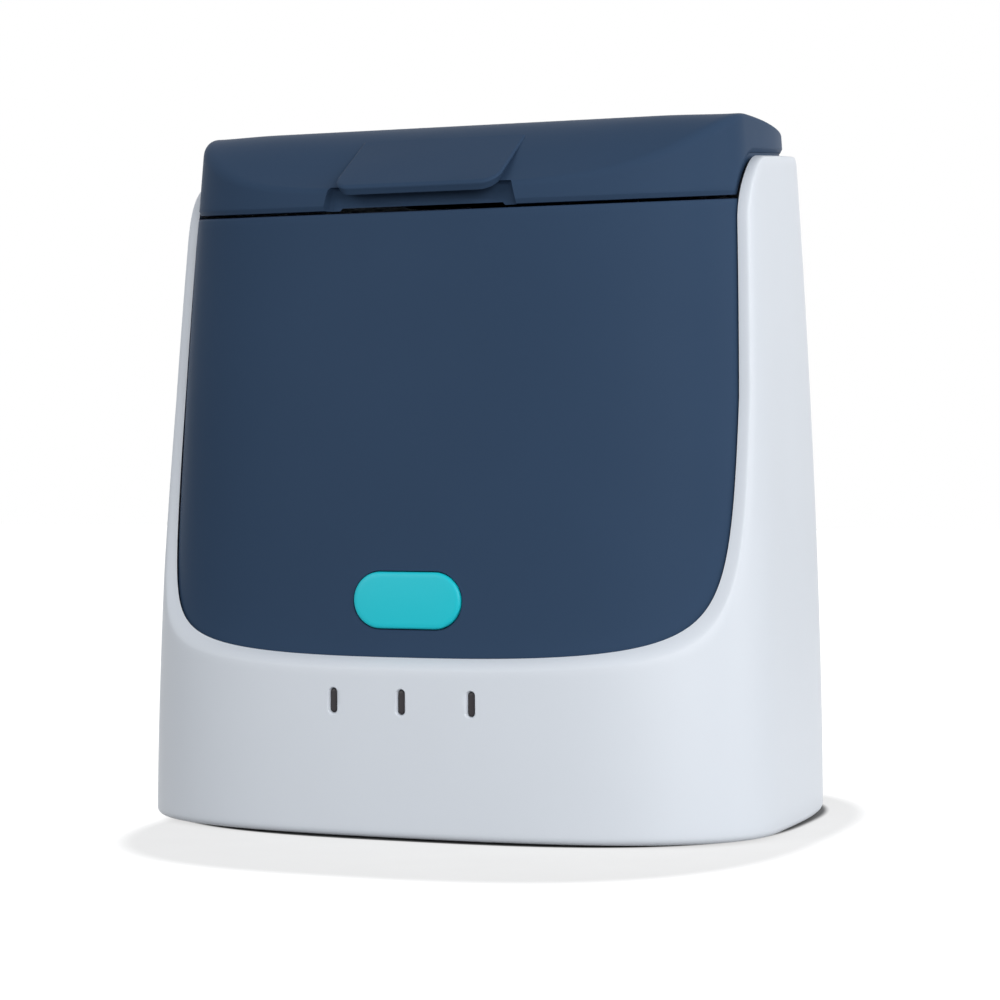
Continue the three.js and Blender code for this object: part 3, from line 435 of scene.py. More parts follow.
def clear_finish(name, colour, roughness):
    """Clear or tinted glass with faint dust in its polish."""
    material, nodes, links, shader = new_material(name)
    dust = noise(nodes, links, object_place(nodes), 900.0, 4.0)
    links.new(drifting(nodes, links, dust, colour, 0.94, 1.03), shader.inputs["Base Color"])
    links.new(spread(nodes, links, dust, roughness, roughness + 0.06), shader.inputs["Roughness"])
    set_inputs(shader, {"Transmission Weight": 1.0, "IOR": 1.46})
    return material


WHITE = moulded("satin_white_plastic", (227, 233, 241), 0.42, grain=3200, relief=0.06, drift=0.012)
NAVY = moulded("soft_touch_navy", (56, 76, 102), 0.4, grain=3000, relief=0.06, drift=0.03, specular=0.015)
TEAL = moulded("satin_teal_plastic", (21, 206, 221), 0.38, grain=3000, relief=0.05, drift=0.02, specular=0.35)
FINISHES = {
    "shell_white": WHITE,
    "navy_soft_touch": NAVY,
    "button_teal": TEAL,
    "inner_plastic": moulded("dark_inner_plastic", (52, 56, 62), 0.55, grain=1800, relief=0.25, drift=0.05),
    "black_plastic": moulded("black_plastic", (26, 27, 30), 0.5, grain=1600, relief=0.25, drift=0.08),
    "rubber": moulded("black_rubber", (30, 30, 31), 0.85, grain=1200, relief=0.35, drift=0.1, specular=0.3),
    "ceramic": moulded("white_ceramic", (232, 231, 224), 0.35, grain=900, relief=0.1, drift=0.02),
    "screw_steel": metal("bright_steel", (128, 130, 134), 0.42, (1, 1, 8)),
    "aluminium": metal("machined_aluminium", (128, 131, 135), 0.5, (1, 14, 1)),
    "circuit_board": board_finish("green_solder_mask"),
    "insulation": foam_finish("grey_foam"),
    "window": moulded("smoked_window", (46, 42, 46), 0.3, grain=2000, relief=0.02, drift=0.04, specular=0.3),
    "glass": clear_finish("optical_glass", (214, 228, 232), 0.02),
    "filter_glass": clear_finish("amber_filter", (214, 150, 60), 0.03),
}



# Outer shell

SHELL_COLUMNS = 260
FOOT_ROUND = 1.2
SKIN_CLEARANCE = 0.02  # the scene's shell is this much thicker than the edge's face is deep
EDGE_FLAT = (1.0, 3.0, 6.0)  # distances behind the edge of the inner wall's first rows
BEYOND_REAR = 60
NEAR_FRONT = 0.02
BY_SIDE = 25  # nearer the middle than this, a place is found by its x, and further out by its y


def away_from_edge(edge, angles, heights):
    """Unit directions along the surface, from each point of the edge down and back into the shell."""
    tangent = np.gradient(edge, axis=0)
    tangent[0], tangent[-1] = (1, 0, 0), (-1, 0, 0)
    step = 1e-3
    around = surface(angles + step, heights, 0) - surface(angles - step, heights, 0)
    upward = surface(angles, heights + step, 0) - surface(angles, heights - step, 0)
    away = np.cross(np.cross(around, upward), tangent)
    away /= np.linalg.norm(away, axis=1)[:, None]
    away *= -np.sign(away[0, 2])
    away[0, 0] = away[-1, 0] = 0
    return away


def through_the_wall(away, angles, heights):
    """How far the edge's inner line lies beside its outer one, where the cut runs straight through the wall."""
    steps = 900
    rim_y = np.linspace(EAR_CURVE[-1][0], BEYOND_REAR, steps)[1:]
    rim = np.stack([rim_y, rim_height(rim_y)], axis=1)
    side_line = np.concatenate([front_and_ear_line(steps), rim])
    along = np.gradient(side_line, axis=0)
    along /= np.linalg.norm(along, axis=1)[:, None]
    across = np.stack([along[:, 1], -along[:, 0]], axis=1)
    inner_line = surface(angles, heights, WALL)[:, 1:]
    near = np.argmin(np.linalg.norm(inner_line[:, None] - side_line[None], axis=2), axis=1)
    off_line = ((inner_line - side_line[near]) * across[near]).sum(axis=1)
    crossing = (away[:, 1:] * across[near]).sum(axis=1)
    least = 0.3
    return -off_line / np.where(np.abs(crossing) < least, least, crossing)


def edge_profile(heights):
    """The edge's round at each column, as rows of distance and depth."""

    def whole(parts):
        first, last = (bezier(part, np.linspace(0, 1, 9)) for part in parts)
        return np.concatenate([first, last[1:]])[:, :, None]

    change = smooth((heights - EDGE_CHANGE[0]) / (EDGE_CHANGE[1] - EDGE_CHANGE[0]))
    return whole(EDGE_FRONT) * (1 - change) + whole(EDGE_SIDE) * change


def outer_shell():
    """A closed skin: up the outside from the foot, round the shaped edge, and down the inside."""
    edge_angle, edge_z = shell_edge(SHELL_COLUMNS)
    edge = surface(edge_angle, edge_z, 0)
    away = away_from_edge(edge, edge_angle, edge_z)
    sideways = through_the_wall(away, edge_angle, edge_z)

    def beside_edge(distance):
        """Plan share and height of the line at a distance from the edge, along the surface."""
        moved = edge + away * np.broadcast_to(distance, len(edge))[:, None]
        x, y, z = moved.T
        half, _, exponent = reaches(z, 0, y < WIDEST_Y)
        by_side = np.sign(y - WIDEST_Y) * np.arccos(np.clip(x / half, 0, 1) ** (exponent / 2))
        front_most = surface(-math.pi / 2, z, 0)[:, 1] + NEAR_FRONT
        angles = np.where((np.abs(x) < BY_SIDE) | (y < front_most), by_side, angle_at(y, z))
        angles[0], angles[-1] = -math.pi / 2, math.pi / 2
        return share_of(angles), z

    profile = edge_profile(edge_z)
    foot_share = 0.5 * share_of(edge_angle) + 0.5 * np.linspace(0, 1, SHELL_COLUMNS)

    def wall_rows(steps, foot_z, top_share, top_z, inset):
        """Rows of the wall at shares of the way from its foot to a line below the edge."""
        made = []
        for t in steps:
            share = (1 - t) * foot_share + t * top_share
            made.append(surface(angle_of(share), (1 - t) * foot_z + t * top_z, inset))
        return made

    rows = []
    for turn in np.linspace(math.pi / 2, 0, 6)[:-1]:
        z = SHELL_FOOT + FOOT_ROUND * (1 - math.sin(turn))
        rows.append(surface(angle_of(foot_share), z, FOOT_ROUND * (1 - math.cos(turn))))
    rows += wall_rows(np.linspace(0, 1, 44)[:-1], SHELL_FOOT + FOOT_ROUND, *beside_edge(profile[0, 0]), 0)
    for distance, inset in profile:
        share, z = beside_edge(distance + sideways * inset / WALL)
        rows.append(surface(angle_of(share), z, inset))
    inside = WALL + SKIN_CLEARANCE
    for distance in EDGE_FLAT:
        share, z = beside_edge(distance)
        rows.append(surface(angle_of(share), z, inside))
    rows += wall_rows(np.linspace(1, 0, 24)[1:], SHELL_FOOT, *beside_edge(EDGE_FLAT[-1]), inside)
    ring = both_halves(np.array(rows))
    faces = grid_faces(len(ring), ring.shape[1], closed_rows=True, closed_columns=True)
    return scratch("outer_shell_skin", ring.reshape(-1, 3), faces)


MOUTH = ((0.35, -3.0), (0.35, -0.05), (0.2, 0.06), (0.08, 0.2), (0, 0.42))
BUTTON_MOUTH = ((0.3, -3), (0.3, -0.02), (0.16, 0.04), (0.06, 0.12), (0, 0.3))


def stadium(size, gap=0.0, steps=48):
    """A function that gives a stadium's outline, wider all round by a gap and by a length."""
    return lambda grow: stadium_ring(*(v + 2 * (grow + gap) for v in size), steps)


def flared(name, outline, x, z, mouth_y, rear_y, towards=-1, widths=MOUTH):
    """A cutter for an opening whose mouth is rounded: each pair is how much wider, and how deep from the face."""
    rings = [front_ring(outline(grow), x, mouth_y - towards * depth, z) for grow, depth in widths]
    rings.append(front_ring(outline(0), x, rear_y, z))
    return loft(name, rings)


def face_y(x, z, inset=0.0, rear=False):
    """Where the body's front or rear face lies at a place beside the middle."""
    half, reach, exponent = reaches(z, inset, not rear)
    fall = float(reach * (1 - abs(x / half) ** exponent) ** (1 / exponent))
    return WIDEST_Y + fall if rear else WIDEST_Y - fall


def rounded_box_ring(width, height, radius, steps=8):
    """Outline of a rectangle with round corners."""
    turn = np.linspace(0, math.pi / 2, steps)
    corner = np.stack([np.cos(turn), np.sin(turn)], axis=1) * radius
    quarter = corner + (width / 2 - radius, height / 2 - radius)
    upper = np.concatenate([quarter, quarter[::-1] * (-1, 1)])
    return np.concatenate([upper, -upper])


INDICATOR = {"size": (1.1, 3.9), "xs": (-12.15, 0, 12.15), "z": 22.5, "gap": 0.1, "deep": 4, "set_back": 0.45}
VENT = {"size": (30, 2.2), "count": 7, "pitch": 4.4, "middle": 64.4, "deep": 5}
INLET_OPENING = {"gap": 0.25, "corner": 1, "deep": 6}


def cut_shell_openings(made):
    """The slots of the indicator windows, the vents behind the fan and the hole of the power inlet."""
    for x in INDICATOR["xs"]:
        mouth = face_y(x, INDICATOR["z"])
        slot = stadium(INDICATOR["size"], INDICATOR["gap"])
        combine(made, flared("slot", slot, x, INDICATOR["z"], mouth, mouth + INDICATOR["deep"]), "DIFFERENCE")
    for place in range(VENT["count"]):
        z = VENT["middle"] + (place - (VENT["count"] - 1) / 2) * VENT["pitch"]
        mouth = face_y(0, z, rear=True)
        vent = flared("vent", stadium(VENT["size"]), 0, z, mouth, mouth - VENT["deep"], towards=1)
        combine(made, vent, "DIFFERENCE")
    low, high = in_millimetres(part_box("power_inlet"))
    x, z = (low.x + high.x) / 2, (low.z + high.z) / 2
    width, height = (side + 2 * INLET_OPENING["gap"] for side in (high.x - low.x, high.z - low.z))
    mouth = face_y(x, z, rear=True)
    corner = INLET_OPENING["corner"]
    inlet = flared("inlet", lambda grow: rounded_box_ring(width + 2 * grow, height + 2 * grow, corner + grow),
                   x, z, mouth, mouth - INLET_OPENING["deep"], towards=1)
    combine(made, inlet, "DIFFERENCE")


# The rear cover's rings as inset from the shell's face, depth below the rim, and how far its notched edge draws back
COVER_RINGS = ((2.6, 1.9, 0.0), (2.0, 1.5, 0.0), (1.95, 0.3, 0.0), (1.9, 0.0, 0.25))
COVER = {"front": 33.5, "notch_x": 25.5, "notch_y": 38.6, "corner": 0.6, "side_z": 118, "plan_z": 118.5}


def rear_cover():
    """The strip that closes the shell behind the lid, notched round the hinge."""
    front_y, notch_x, notch_y, corner = (COVER[name] for name in ("front", "notch_x", "notch_y", "corner"))
    side = angle_at(front_y, COVER["side_z"], WALL)
    rings = []
    for inset, drop, trim in COVER_RINGS:
        rim = surface(np.linspace(side, math.pi - side, 160), COVER["plan_z"], inset)
        front, in_notch = front_y + trim, notch_x + trim
        half = [(in_notch, front), (in_notch, notch_y - corner + trim), (notch_x - corner + trim, notch_y + trim)]
        edge = [(rim[-1, 0], front)] + [(-x, y) for x, y in half] + half[::-1] + [(rim[0, 0], front)]
        plan = np.concatenate([rim[:, :2], edge])
        rings.append(np.column_stack([plan, rim_height(plan[:, 1]) - drop]))
    return loft("shell_rear_cover", rings, make=add_object, body="housing", material=WHITE)


shell = outer_shell()
cut_shell_openings(shell)
finish_mesh(shell, WHITE)
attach(shell, "housing")
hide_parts("outer_shell")
cover = rear_cover()


# Front panel, button and indicator windows


def ear_y(z):
    """How far back the shell's edge lies at a height."""
    line = front_and_ear_line(400)
    return np.interp(z, line[:, 1], line[:, 0])


def open_strip(half):
    """A strip from the right half's rows of points: its ends stay open."""
    return np.concatenate([half[:, :0:-1] * (-1, 1, 1), half], axis=1)


BUTTON = {"size": (18.9, 9.3), "z": 38.95, "gap": 0.16, "deep": 6}
FLANGE = {"wider": 1.6, "thick": 1.2}
PANEL_FOOT = 26.0  # behind the shell, below the edge
PANEL_LAP = 4.6  # how far the panel runs on behind the ears
PANEL_EDGE = 0.45
LOWEST_EAR = 44  # below this height the edge turns across the front, and the panel's side runs straight down


def front_panel():
    """A slab with a round top edge, between the ears, with the button's opening."""
    columns, start_z, tries = 90, 70.0, 12
    across = np.linspace(0, 1, columns)

    def row(height_share, drop, inset):
        z = np.full(columns, start_z)
        for _ in range(tries):
            limit = share_of(angle_at(ear_y(np.maximum(z, LOWEST_EAR)) + PANEL_LAP, z, inset))
            angles = angle_of(across * limit)
            top = PANEL_TOP + SLOPE * surface(angles, z, inset)[:, 1] - drop
            z = PANEL_FOOT + (top - PANEL_FOOT) * height_share
        return surface(angles, z, inset)

    rows = [row(t, PANEL_EDGE, PANEL_INSET) for t in np.linspace(0, 1, 60)]
    for turn in np.linspace(0, math.pi / 2, 5)[1:]:
        drop, further = PANEL_EDGE * (1 - math.sin(turn)), PANEL_EDGE * (1 - math.cos(turn))
        rows.append(row(1, drop, PANEL_INSET + further))
    rows += [row(t, 0, PANEL_INSET + PANEL_WALL) for t in np.linspace(1, 0, 30)]
    strip = open_strip(np.array(rows))
    count, wide = strip.shape[:2]
    faces = grid_faces(count, wide, closed_rows=True)
    faces.append(tuple(r * wide for r in range(count)))
    faces.append(tuple(r * wide + wide - 1 for r in range(count))[::-1])
    made = scratch("front_panel_skin", strip.reshape(-1, 3), faces)
    mouth = face_y(0, BUTTON["z"], PANEL_INSET)
    outline = stadium(BUTTON["size"], BUTTON["gap"], 96)
    opening = flared("aperture", outline, 0, BUTTON["z"], mouth, mouth + BUTTON["deep"], widths=BUTTON_MOUTH)
    combine(made, opening, "DIFFERENCE")
    finish_mesh(made, NAVY)
    return made


def domed_cap(name, size, x, z, front, behind, crown, edge, body, material):
    """A stadium cap with a crowned face and a round edge; behind it are rings of how much wider, and how far back."""
    outline = stadium_ring(*size, 96)
    middle_half = max(size[0] - size[1], 0) / 2, max(size[1] - size[0], 0) / 2
    middle = np.clip(outline, (-middle_half[0], -middle_half[1]), middle_half)
    radius = min(size) / 2
    places = [(share, front + crown * share**2) for share in np.linspace(0.02, 1 - edge / radius, 9)]
    for turn in np.linspace(0, math.pi / 2, 8)[1:]:
        places.append((1 - edge * (1 - math.sin(turn)) / radius, front + crown + edge * (1 - math.cos(turn))))
    places += [(1 + grow / radius, y) for grow, y in behind]
    rings = [front_ring(middle + (outline - middle) * share, x, y, z) for share, y in places]
    return loft(name, rings, make=add_object, body=body, material=material)


panel = front_panel()
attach(panel, "housing")
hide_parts("front_panel")

low, high = in_millimetres(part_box("start_button"))
flange_y = high.y - FLANGE["thick"]
button = domed_cap(
    "start_button_cap", BUTTON["size"], 0, BUTTON["z"], low.y,
    ((0, flange_y), (FLANGE["wider"], flange_y), (FLANGE["wider"], high.y)),
    crown=0.14, edge=0.45, body="button", material=TEAL,
)
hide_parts("start_button")

for x, side in zip(INDICATOR["xs"], ("left", "middle", "right")):
    face = face_y(x, INDICATOR["z"]) + INDICATOR["set_back"]
    rear = in_millimetres(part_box("light_pipe_" + side))[1].y
    window = domed_cap(
        "indicator_window_" + side, INDICATOR["size"], x, INDICATOR["z"], face, ((0, rear),),
        crown=0.06, edge=0.12, body="housing", material=FINISHES["window"],
    )
    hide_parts("light_pipe_" + side)


# Lid

# Side views as (y, z): the lid's top at its middle, the same line's rear end, and the crease above its wall
LID_TOP = [(-41, 107), (-33.5, 111), (-28, 119.4), (-17, 119.7)]
LID_CROWN = [(-8, 120), (2, 120)]
LID_CREASE = [(-41, 106.6), (-33.2, 108.7), (-27.2, 119.8), (-14, 119.8)]
CREASE_ROUND = ([-41, -36, -29, -22, -14, -4], [0.8, 1.0, 1.6, 1.6, 0.8, 0.45])  # its size at places from the front
LID_SPINE = (-14, 27)  # where the columns of points end on the middle line
LID_DIP_LENGTH = 13  # how far in from a low crease the top still dips
LID_FOOT = 107.95
LID_WALL = 2.0
LID_REAR = 33.0
LID_REAR_WALL = 1.5
REAR_CORNER = 1.5
LID_GAP = 0.5  # above the rim
EAR_GAP = 0.3
LID_COLUMNS = 230
LID_START_Z = 112.0  # where a search for a height on the lid's wall starts
LID_TRIES = 60
INNER_ROUND = 0.4  # of the inside's crease, as a share of the outside's

# The round of the lid's lower edge, as shares of its height and how far it draws in
FOOT_EDGE = ((0, 0.42), (0.37, 0.26), (0.73, 0.1), (0.9, 0.03))
FOOT_EDGE_HEIGHT = 0.82

TAB = {"width": 29.4, "front": -42.14, "top": 107.27, "rise": 0.66, "root": 13.6, "corner": 3.0}
POCKET = {"width": 33.6, "rear": -38.1, "top": 107.51, "wall": 1.5}
BACKING = {"front": -39.2, "lift": 0.25, "above": 0.5, "front_drop": 1.2}
HINGE = {"y": 36, "z": 117.9, "radius": 2.1, "half": 25.0, "pin": 1.15, "lug_x": 17, "lug_room": 6.6, "swing": 2.4}
LIP = {"reach": 1.0, "root": 1.0, "outer": 2.75, "inner": 3.3, "from": -24, "to": 30}

# Rings of the tab, from its underside round its rim to its face: inset from its outline, and depth below its face
TAB_RINGS = ((1.25, 2.05), (0.85, 2.0), (0.6, 1.8), (0.45, 1.45), (0.3, 1.1), (0.16, 0.8),
             (0.04, 0.55), (0, 0.4), (0.04, 0.22), (0.14, 0.09), (0.3, 0.02), (0.5, 0))

# Rings of the recess, from the front to its rear wall: y, how much narrower, and how much lower its ceiling is
POCKET_RINGS = ((-50, 0, 0), (-40.4, 0, 0), (-39, 0.2, 0.05), (-38.4, 0.5, 0.2), (POCKET["rear"], 1.0, 0.5))


def lid_height(y, front=LID_TOP):
    """Height of the lid's top at its middle, or of another line that runs on into the same crown."""
    t = np.linspace(0, 1, 800)
    line = np.concatenate([bezier(front, t), bezier([front[-1], *LID_CROWN], t)[1:]])
    return np.interp(np.asarray(y, float), line[:, 0], line[:, 1])


def crease_height(y):
    """Where the lid's wall turns into its top: lower than the top's own line at the front corners."""
    return lid_height(y, LID_CREASE)


def lid_ceiling(y):
    """Underside of the lid's top, which stays clear of the shell's rim at the rear."""
    clear = np.where(np.asarray(y) > 0, rim_height(y) + LID_GAP, 0)
    return np.maximum(lid_height(np.asarray(y) - 1) - LID_WALL, clear)


def lid_foot(y, reach=0.0):
    """Height of the lid's lower edge: the parting line ahead of the ears, then a curve that clears the shell's rim.

    A reach gives a line that much nearer the shell."""
    y = np.asarray(y, float)
    ear = ear_line(400)
    shifted = y + EAR_GAP - reach
    over_ear = np.interp(shifted, ear[:, 0], ear[:, 1])
    over = np.where(shifted < EAR_CURVE[-1][0], over_ear, rim_height(shifted)) + LID_GAP - reach
    return np.maximum(LID_FOOT + SLOPE * y, over)


def lid_plan(shares, z, inset, rear_y):
    """Plan places of the lid's wall: shares up to 1 run round the side, and from 1 to 2 along the rear edge."""
    z = np.broadcast_to(np.asarray(z, float), shares.shape)
    corner_angle = angle_at(rear_y - REAR_CORNER, z, inset)
    start = share_of(corner_angle)
    side = surface(angle_of(np.clip(shares, 0, 1) * start), z, inset)[:, :2]
    corner = surface(angle_at(rear_y, z, inset), z, inset)[:, :2]
    last = surface(corner_angle, z, inset)[:, :2]
    bend = 0.04
    along = np.clip((shares - 1 - bend) / (1 - bend), 0, 1)
    after = corner * (1, 0) + (0, rear_y) - (REAR_CORNER, 0)
    rear = np.stack([after[:, 0] * (1 - along), np.full(len(shares), float(rear_y))], axis=1)
    t = np.clip((shares - 1) / bend, 0, 1)[:, None]
    bent = last * (1 - t) ** 2 + 2 * corner * t * (1 - t) + after * t**2
    return np.where(shares[:, None] <= 1, side, np.where(shares[:, None] >= 1 + bend, rear, bent))


def lid_columns(count):
    """Shares along the lid's lower edge, evenly spaced in space, with the heights there."""
    dense = np.concatenate([np.linspace(0, 1, 3000), np.linspace(1, 2, 1200)[1:]])
    z = np.full(len(dense), LID_START_Z)
    for _ in range(LID_TRIES // 2):
        z = 0.5 * z + 0.5 * lid_foot(lid_plan(dense, z, PANEL_INSET, LID_REAR)[:, 1])
    return evenly(np.column_stack([lid_plan(dense, z, PANEL_INSET, LID_REAR), z]), count, dense, z)


def lid_half(shares, foot, inset, rear_y, height_of, crease_of, round_share):
    """Rows of points from the lower edge up the wall, round the crease and over the top to the middle."""
    columns = len(shares)
    crease = np.full(columns, LID_START_Z)
    for _ in range(LID_TRIES):
        crease = 0.5 * crease + 0.5 * crease_of(lid_plan(shares, crease, inset, rear_y)[:, 1])
    spine = np.column_stack([np.zeros(columns), np.interp(np.arange(columns), [0, columns - 1], LID_SPINE)])
    plan_y = lid_plan(shares, crease, inset, rear_y)[:, 1]
    rounds = round_share * np.interp(plan_y, *CREASE_ROUND)
    least_wall, steps = 4.5, 60
    lines = []
    for c in range(columns):
        wall_z = np.linspace(min(foot[c], crease[c] - least_wall), crease[c], steps)
        wall = np.column_stack([lid_plan(np.full(steps, shares[c]), wall_z, inset, rear_y), wall_z])
        t = np.linspace(0, 1, 240)[:, None] ** 1.5
        plan = wall[-1, :2] * (1 - t) + spine[c] * t
        far = np.linalg.norm(plan - wall[-1, :2], axis=1) / LID_DIP_LENGTH
        dip = (height_of(plan[0, 1]) - crease[c]) * np.clip(1 - far, 0, 1) ** 2
        top = np.column_stack([plan, height_of(plan[:, 1]) - dip])
        lines.append(round_corner(wall, top, rounds[c]))
    rows = []
    for kind, count in (("wall", 12), ("bend", 12), ("top", 36)):
        for t in np.linspace(0, 1, count, endpoint=kind == "top"):
            rows.append([column_point(line, foot[c], kind, t) for c, line in enumerate(lines)])
    return np.array(rows)


def round_corner(wall, top, length):
    """Joins two lines of points with a curve that starts a given distance before their corner."""
    wall_steps, top_steps = steps_along(wall[::-1]), steps_along(top)
    before = np.array([np.interp(length, wall_steps, wall[::-1, k]) for k in range(3)])
    after = np.array([np.interp(length, top_steps, top[:, k]) for k in range(3)])
    t = np.linspace(0, 1, 24)[:, None]
    bend = before * (1 - t) ** 2 + 2 * wall[-1] * t * (1 - t) + after * t**2
    lower = wall[::-1][wall_steps > length][::-1]
    upper = top[top_steps > length]
    return lower, bend, upper


def column_point(line, foot, kind, t):
    """A point at a share of one stretch of a column; the column starts at the height of the lid's edge."""
    lower, bend, upper = line
    whole = np.concatenate([lower, bend, upper])
    steps = steps_along(whole)
    bent = len(lower) + len(bend)
    least = 0.2
    first = np.interp(foot, whole[:bent, 2], steps[:bent])
    bend_start = max(steps[len(lower)], first + least)
    bend_end = max(steps[bent - 1], bend_start + least)
    low, high = {"wall": (first, bend_start), "bend": (bend_start, bend_end), "top": (bend_end, steps[-1])}[kind]
    place = low + (high - low) * (t**1.4 if kind == "top" else t)
    return [np.interp(place, steps, whole[:, k]) for k in range(3)]


def lid_shell():
    """A closed skin: the inside from the middle to the lower edge, round that edge, and the outside back up."""
    shares, foot = lid_columns(LID_COLUMNS)
    inner_inset, inner_rear = PANEL_INSET + LID_WALL, LID_REAR - LID_REAR_WALL
    edge_y = lid_plan(shares, foot, PANEL_INSET, LID_REAR)[:, 1]
    edge_height = np.minimum(FOOT_EDGE_HEIGHT, 0.35 * (crease_height(edge_y) - foot))
    outer = lid_half(shares, foot + edge_height, PANEL_INSET, LID_REAR, lid_height, crease_height, 1.0)
    inner = lid_half(shares, foot, inner_inset, inner_rear, lid_ceiling, lid_ceiling, INNER_ROUND)
    steep = np.abs(np.gradient(foot)) / np.linalg.norm(np.gradient(outer[0], axis=0), axis=1)
    level_share = 1 - 0.7 * np.clip(steep, 0, 1)
    edge = []
    for up_share, in_step in FOOT_EDGE:
        z = foot + edge_height * up_share
        turned = [lid_plan(shares[c : c + 1], z[c], PANEL_INSET + in_step * level_share[c], LID_REAR - in_step)[0]
                  for c in range(len(shares))]
        edge.append(np.column_stack([np.array(turned), z]))
    floor_ring = np.column_stack([lid_plan(shares, foot, inner_inset, inner_rear), foot])
    half = np.concatenate([inner[::-1], floor_ring[None], np.array(edge), outer])
    half[:, 0, 0] = half[:, -1, 0] = 0
    ring = both_halves(half)
    faces = grid_faces(len(ring), ring.shape[1], closed_columns=True)
    return scratch("lid_cover_skin", ring.reshape(-1, 3), faces)


def tab_outline(inset):
    """Plan of the finger tab, with round front corners; its rear end lies inside the lid."""
    half, front, radius = TAB["width"] / 2 - inset, TAB["front"] + inset, TAB["corner"] - inset * 0.6
    turn = np.linspace(0, math.pi / 2, 10)
    corner = np.stack([half - radius + radius * np.sin(turn), front + radius - radius * np.cos(turn)], axis=1)
    sides = np.stack([np.full(8, half), np.linspace(front + radius, TAB["front"] + TAB["root"], 9)[1:]], axis=1)
    right = np.concatenate([corner, sides])
    return np.concatenate([right, right[::-1] * (-1, 1)])


def finger_tab():
    """The tab: a slab along a sloping plane, round along its upper edge and drawn in under its lip."""
    rings = []
    for inset, drop in TAB_RINGS:
        plan = tab_outline(inset)
        rings.append(np.column_stack([plan, TAB["top"] + TAB["rise"] * (plan[:, 1] - TAB["front"]) - drop]))
    return loft("tab", rings)


def side_bar(name, outline, half):
    """A solid across the part with one outline of (y, z) points."""
    outline = np.asarray(outline, float)
    return loft(name, [np.column_stack([np.full(len(outline), x), outline]) for x in (-half, half)])


def circle_outline(y, z, radius, steps=48):
    turn = np.linspace(0, 2 * math.pi, steps, endpoint=False)
    return np.stack([y + radius * np.cos(turn), z + radius * np.sin(turn)], axis=1)


def finger_pocket():
    """Cutter for the recess under the tab: its sides slope inwards to the rear and a little outwards to the foot."""
    foot_z, below, corner = 104.4, 1.5, 0.25
    side_gap, foot_wider, end_wider = 0.3, 0.7, 1.0
    rings = []
    for y, narrower, lower in POCKET_RINGS:
        half, top = POCKET["width"] / 2 - side_gap - narrower, POCKET["top"] - lower
        right = [(half + end_wider, foot_z - below), (half + foot_wider, foot_z)]
        right += [(half, top - corner), (half - corner, top)]
        outline = np.array(right + [(-x, z) for x, z in right[::-1]])
        rings.append(front_ring(outline, 0, y, 0))
    return loft("pocket", rings)


def add_lid_details(made):
    """The recess with its rear wall, the finger tab, and the hinge barrel with room for the lugs and the pins."""
    front, rear = BACKING["front"], POCKET["rear"] + POCKET["wall"]
    foot, top = LID_FOOT + BACKING["lift"], POCKET["top"] + BACKING["above"]
    outline = [(y, foot + SLOPE * y) for y in (front, rear)] + [(rear, top), (front, top - BACKING["front_drop"])]
    combine(made, side_bar("backing", outline, POCKET["width"] / 2 + POCKET["wall"]), "UNION")
    combine(made, finger_pocket(), "DIFFERENCE")
    combine(made, finger_tab(), "UNION")

    hinge_y, hinge_z, hair = HINGE["y"], HINGE["z"], 0.01
    web_front, web_foot = LID_REAR - 3, HEIGHT - LID_WALL
    rear, lowest, highest, pin_half = 60, 100, 130, 30
    outline = [(web_front, web_foot), (hinge_y, web_foot - hair), (hinge_y, HEIGHT - hair), (web_front, HEIGHT - hair)]
    combine(made, side_bar("web", outline, HINGE["half"]), "UNION")
    barrel = side_bar("barrel", circle_outline(hinge_y, hinge_z, HINGE["radius"]), HINGE["half"])
    combine(made, barrel, "UNION")
    swing_y = hinge_y - HINGE["swing"]
    for x in (-HINGE["lug_x"], HINGE["lug_x"]):
        outline = [(swing_y, lowest), (rear, lowest), (rear, highest), (swing_y, highest)]
        room = side_bar("lug_room", outline, HINGE["lug_room"] / 2)
        room.location.x = x * MM
        combine(made, room, "DIFFERENCE")
    combine(made, side_bar("pin_hole", circle_outline(hinge_y, hinge_z, HINGE["pin"]), pin_half), "DIFFERENCE")


def lid_lip(side):
    """A lip inside the lid's edge, behind the ear and the rim, that shuts the view through the gap."""
    y = np.linspace(LIP["from"], LIP["to"], 110)
    low, top = lid_foot(y, LIP["reach"]), lid_foot(y) + LIP["root"]
    corners = []
    for inset, z in ((LIP["outer"], low), (LIP["outer"], top), (LIP["inner"], top), (LIP["inner"], low)):
        corners.append(surface(angle_at(y, z, inset), z, inset) * (side, 1, 1))
    name = "lid_lip_right" if side > 0 else "lid_lip_left"
    return loft(name, np.stack(corners, axis=1), make=add_object, body="lid", material=NAVY)


lid = lid_shell()
add_lid_details(lid)
for side in (-1, 1):
    lid_lip(side)
finish_mesh(lid, NAVY, 30)
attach(lid, "lid")
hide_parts("lid_cover")


# Finishes of the pieces that keep their solids

REPLACED = ("outer_shell", "front_panel", "start_button", "lid_cover", "light_pipe")
EDGE_ROUND = 0.2
EDGE_ROUNDS = {"fan_rotor": 0.15, "lid_press_pad": 0.3, "base_plate": 0.3, "top_deck": 0.3}
LARGEST_ROUND = 0.12  # as a share of a piece's smallest size
ROUNDED_FROM = 40  # degrees between two faces


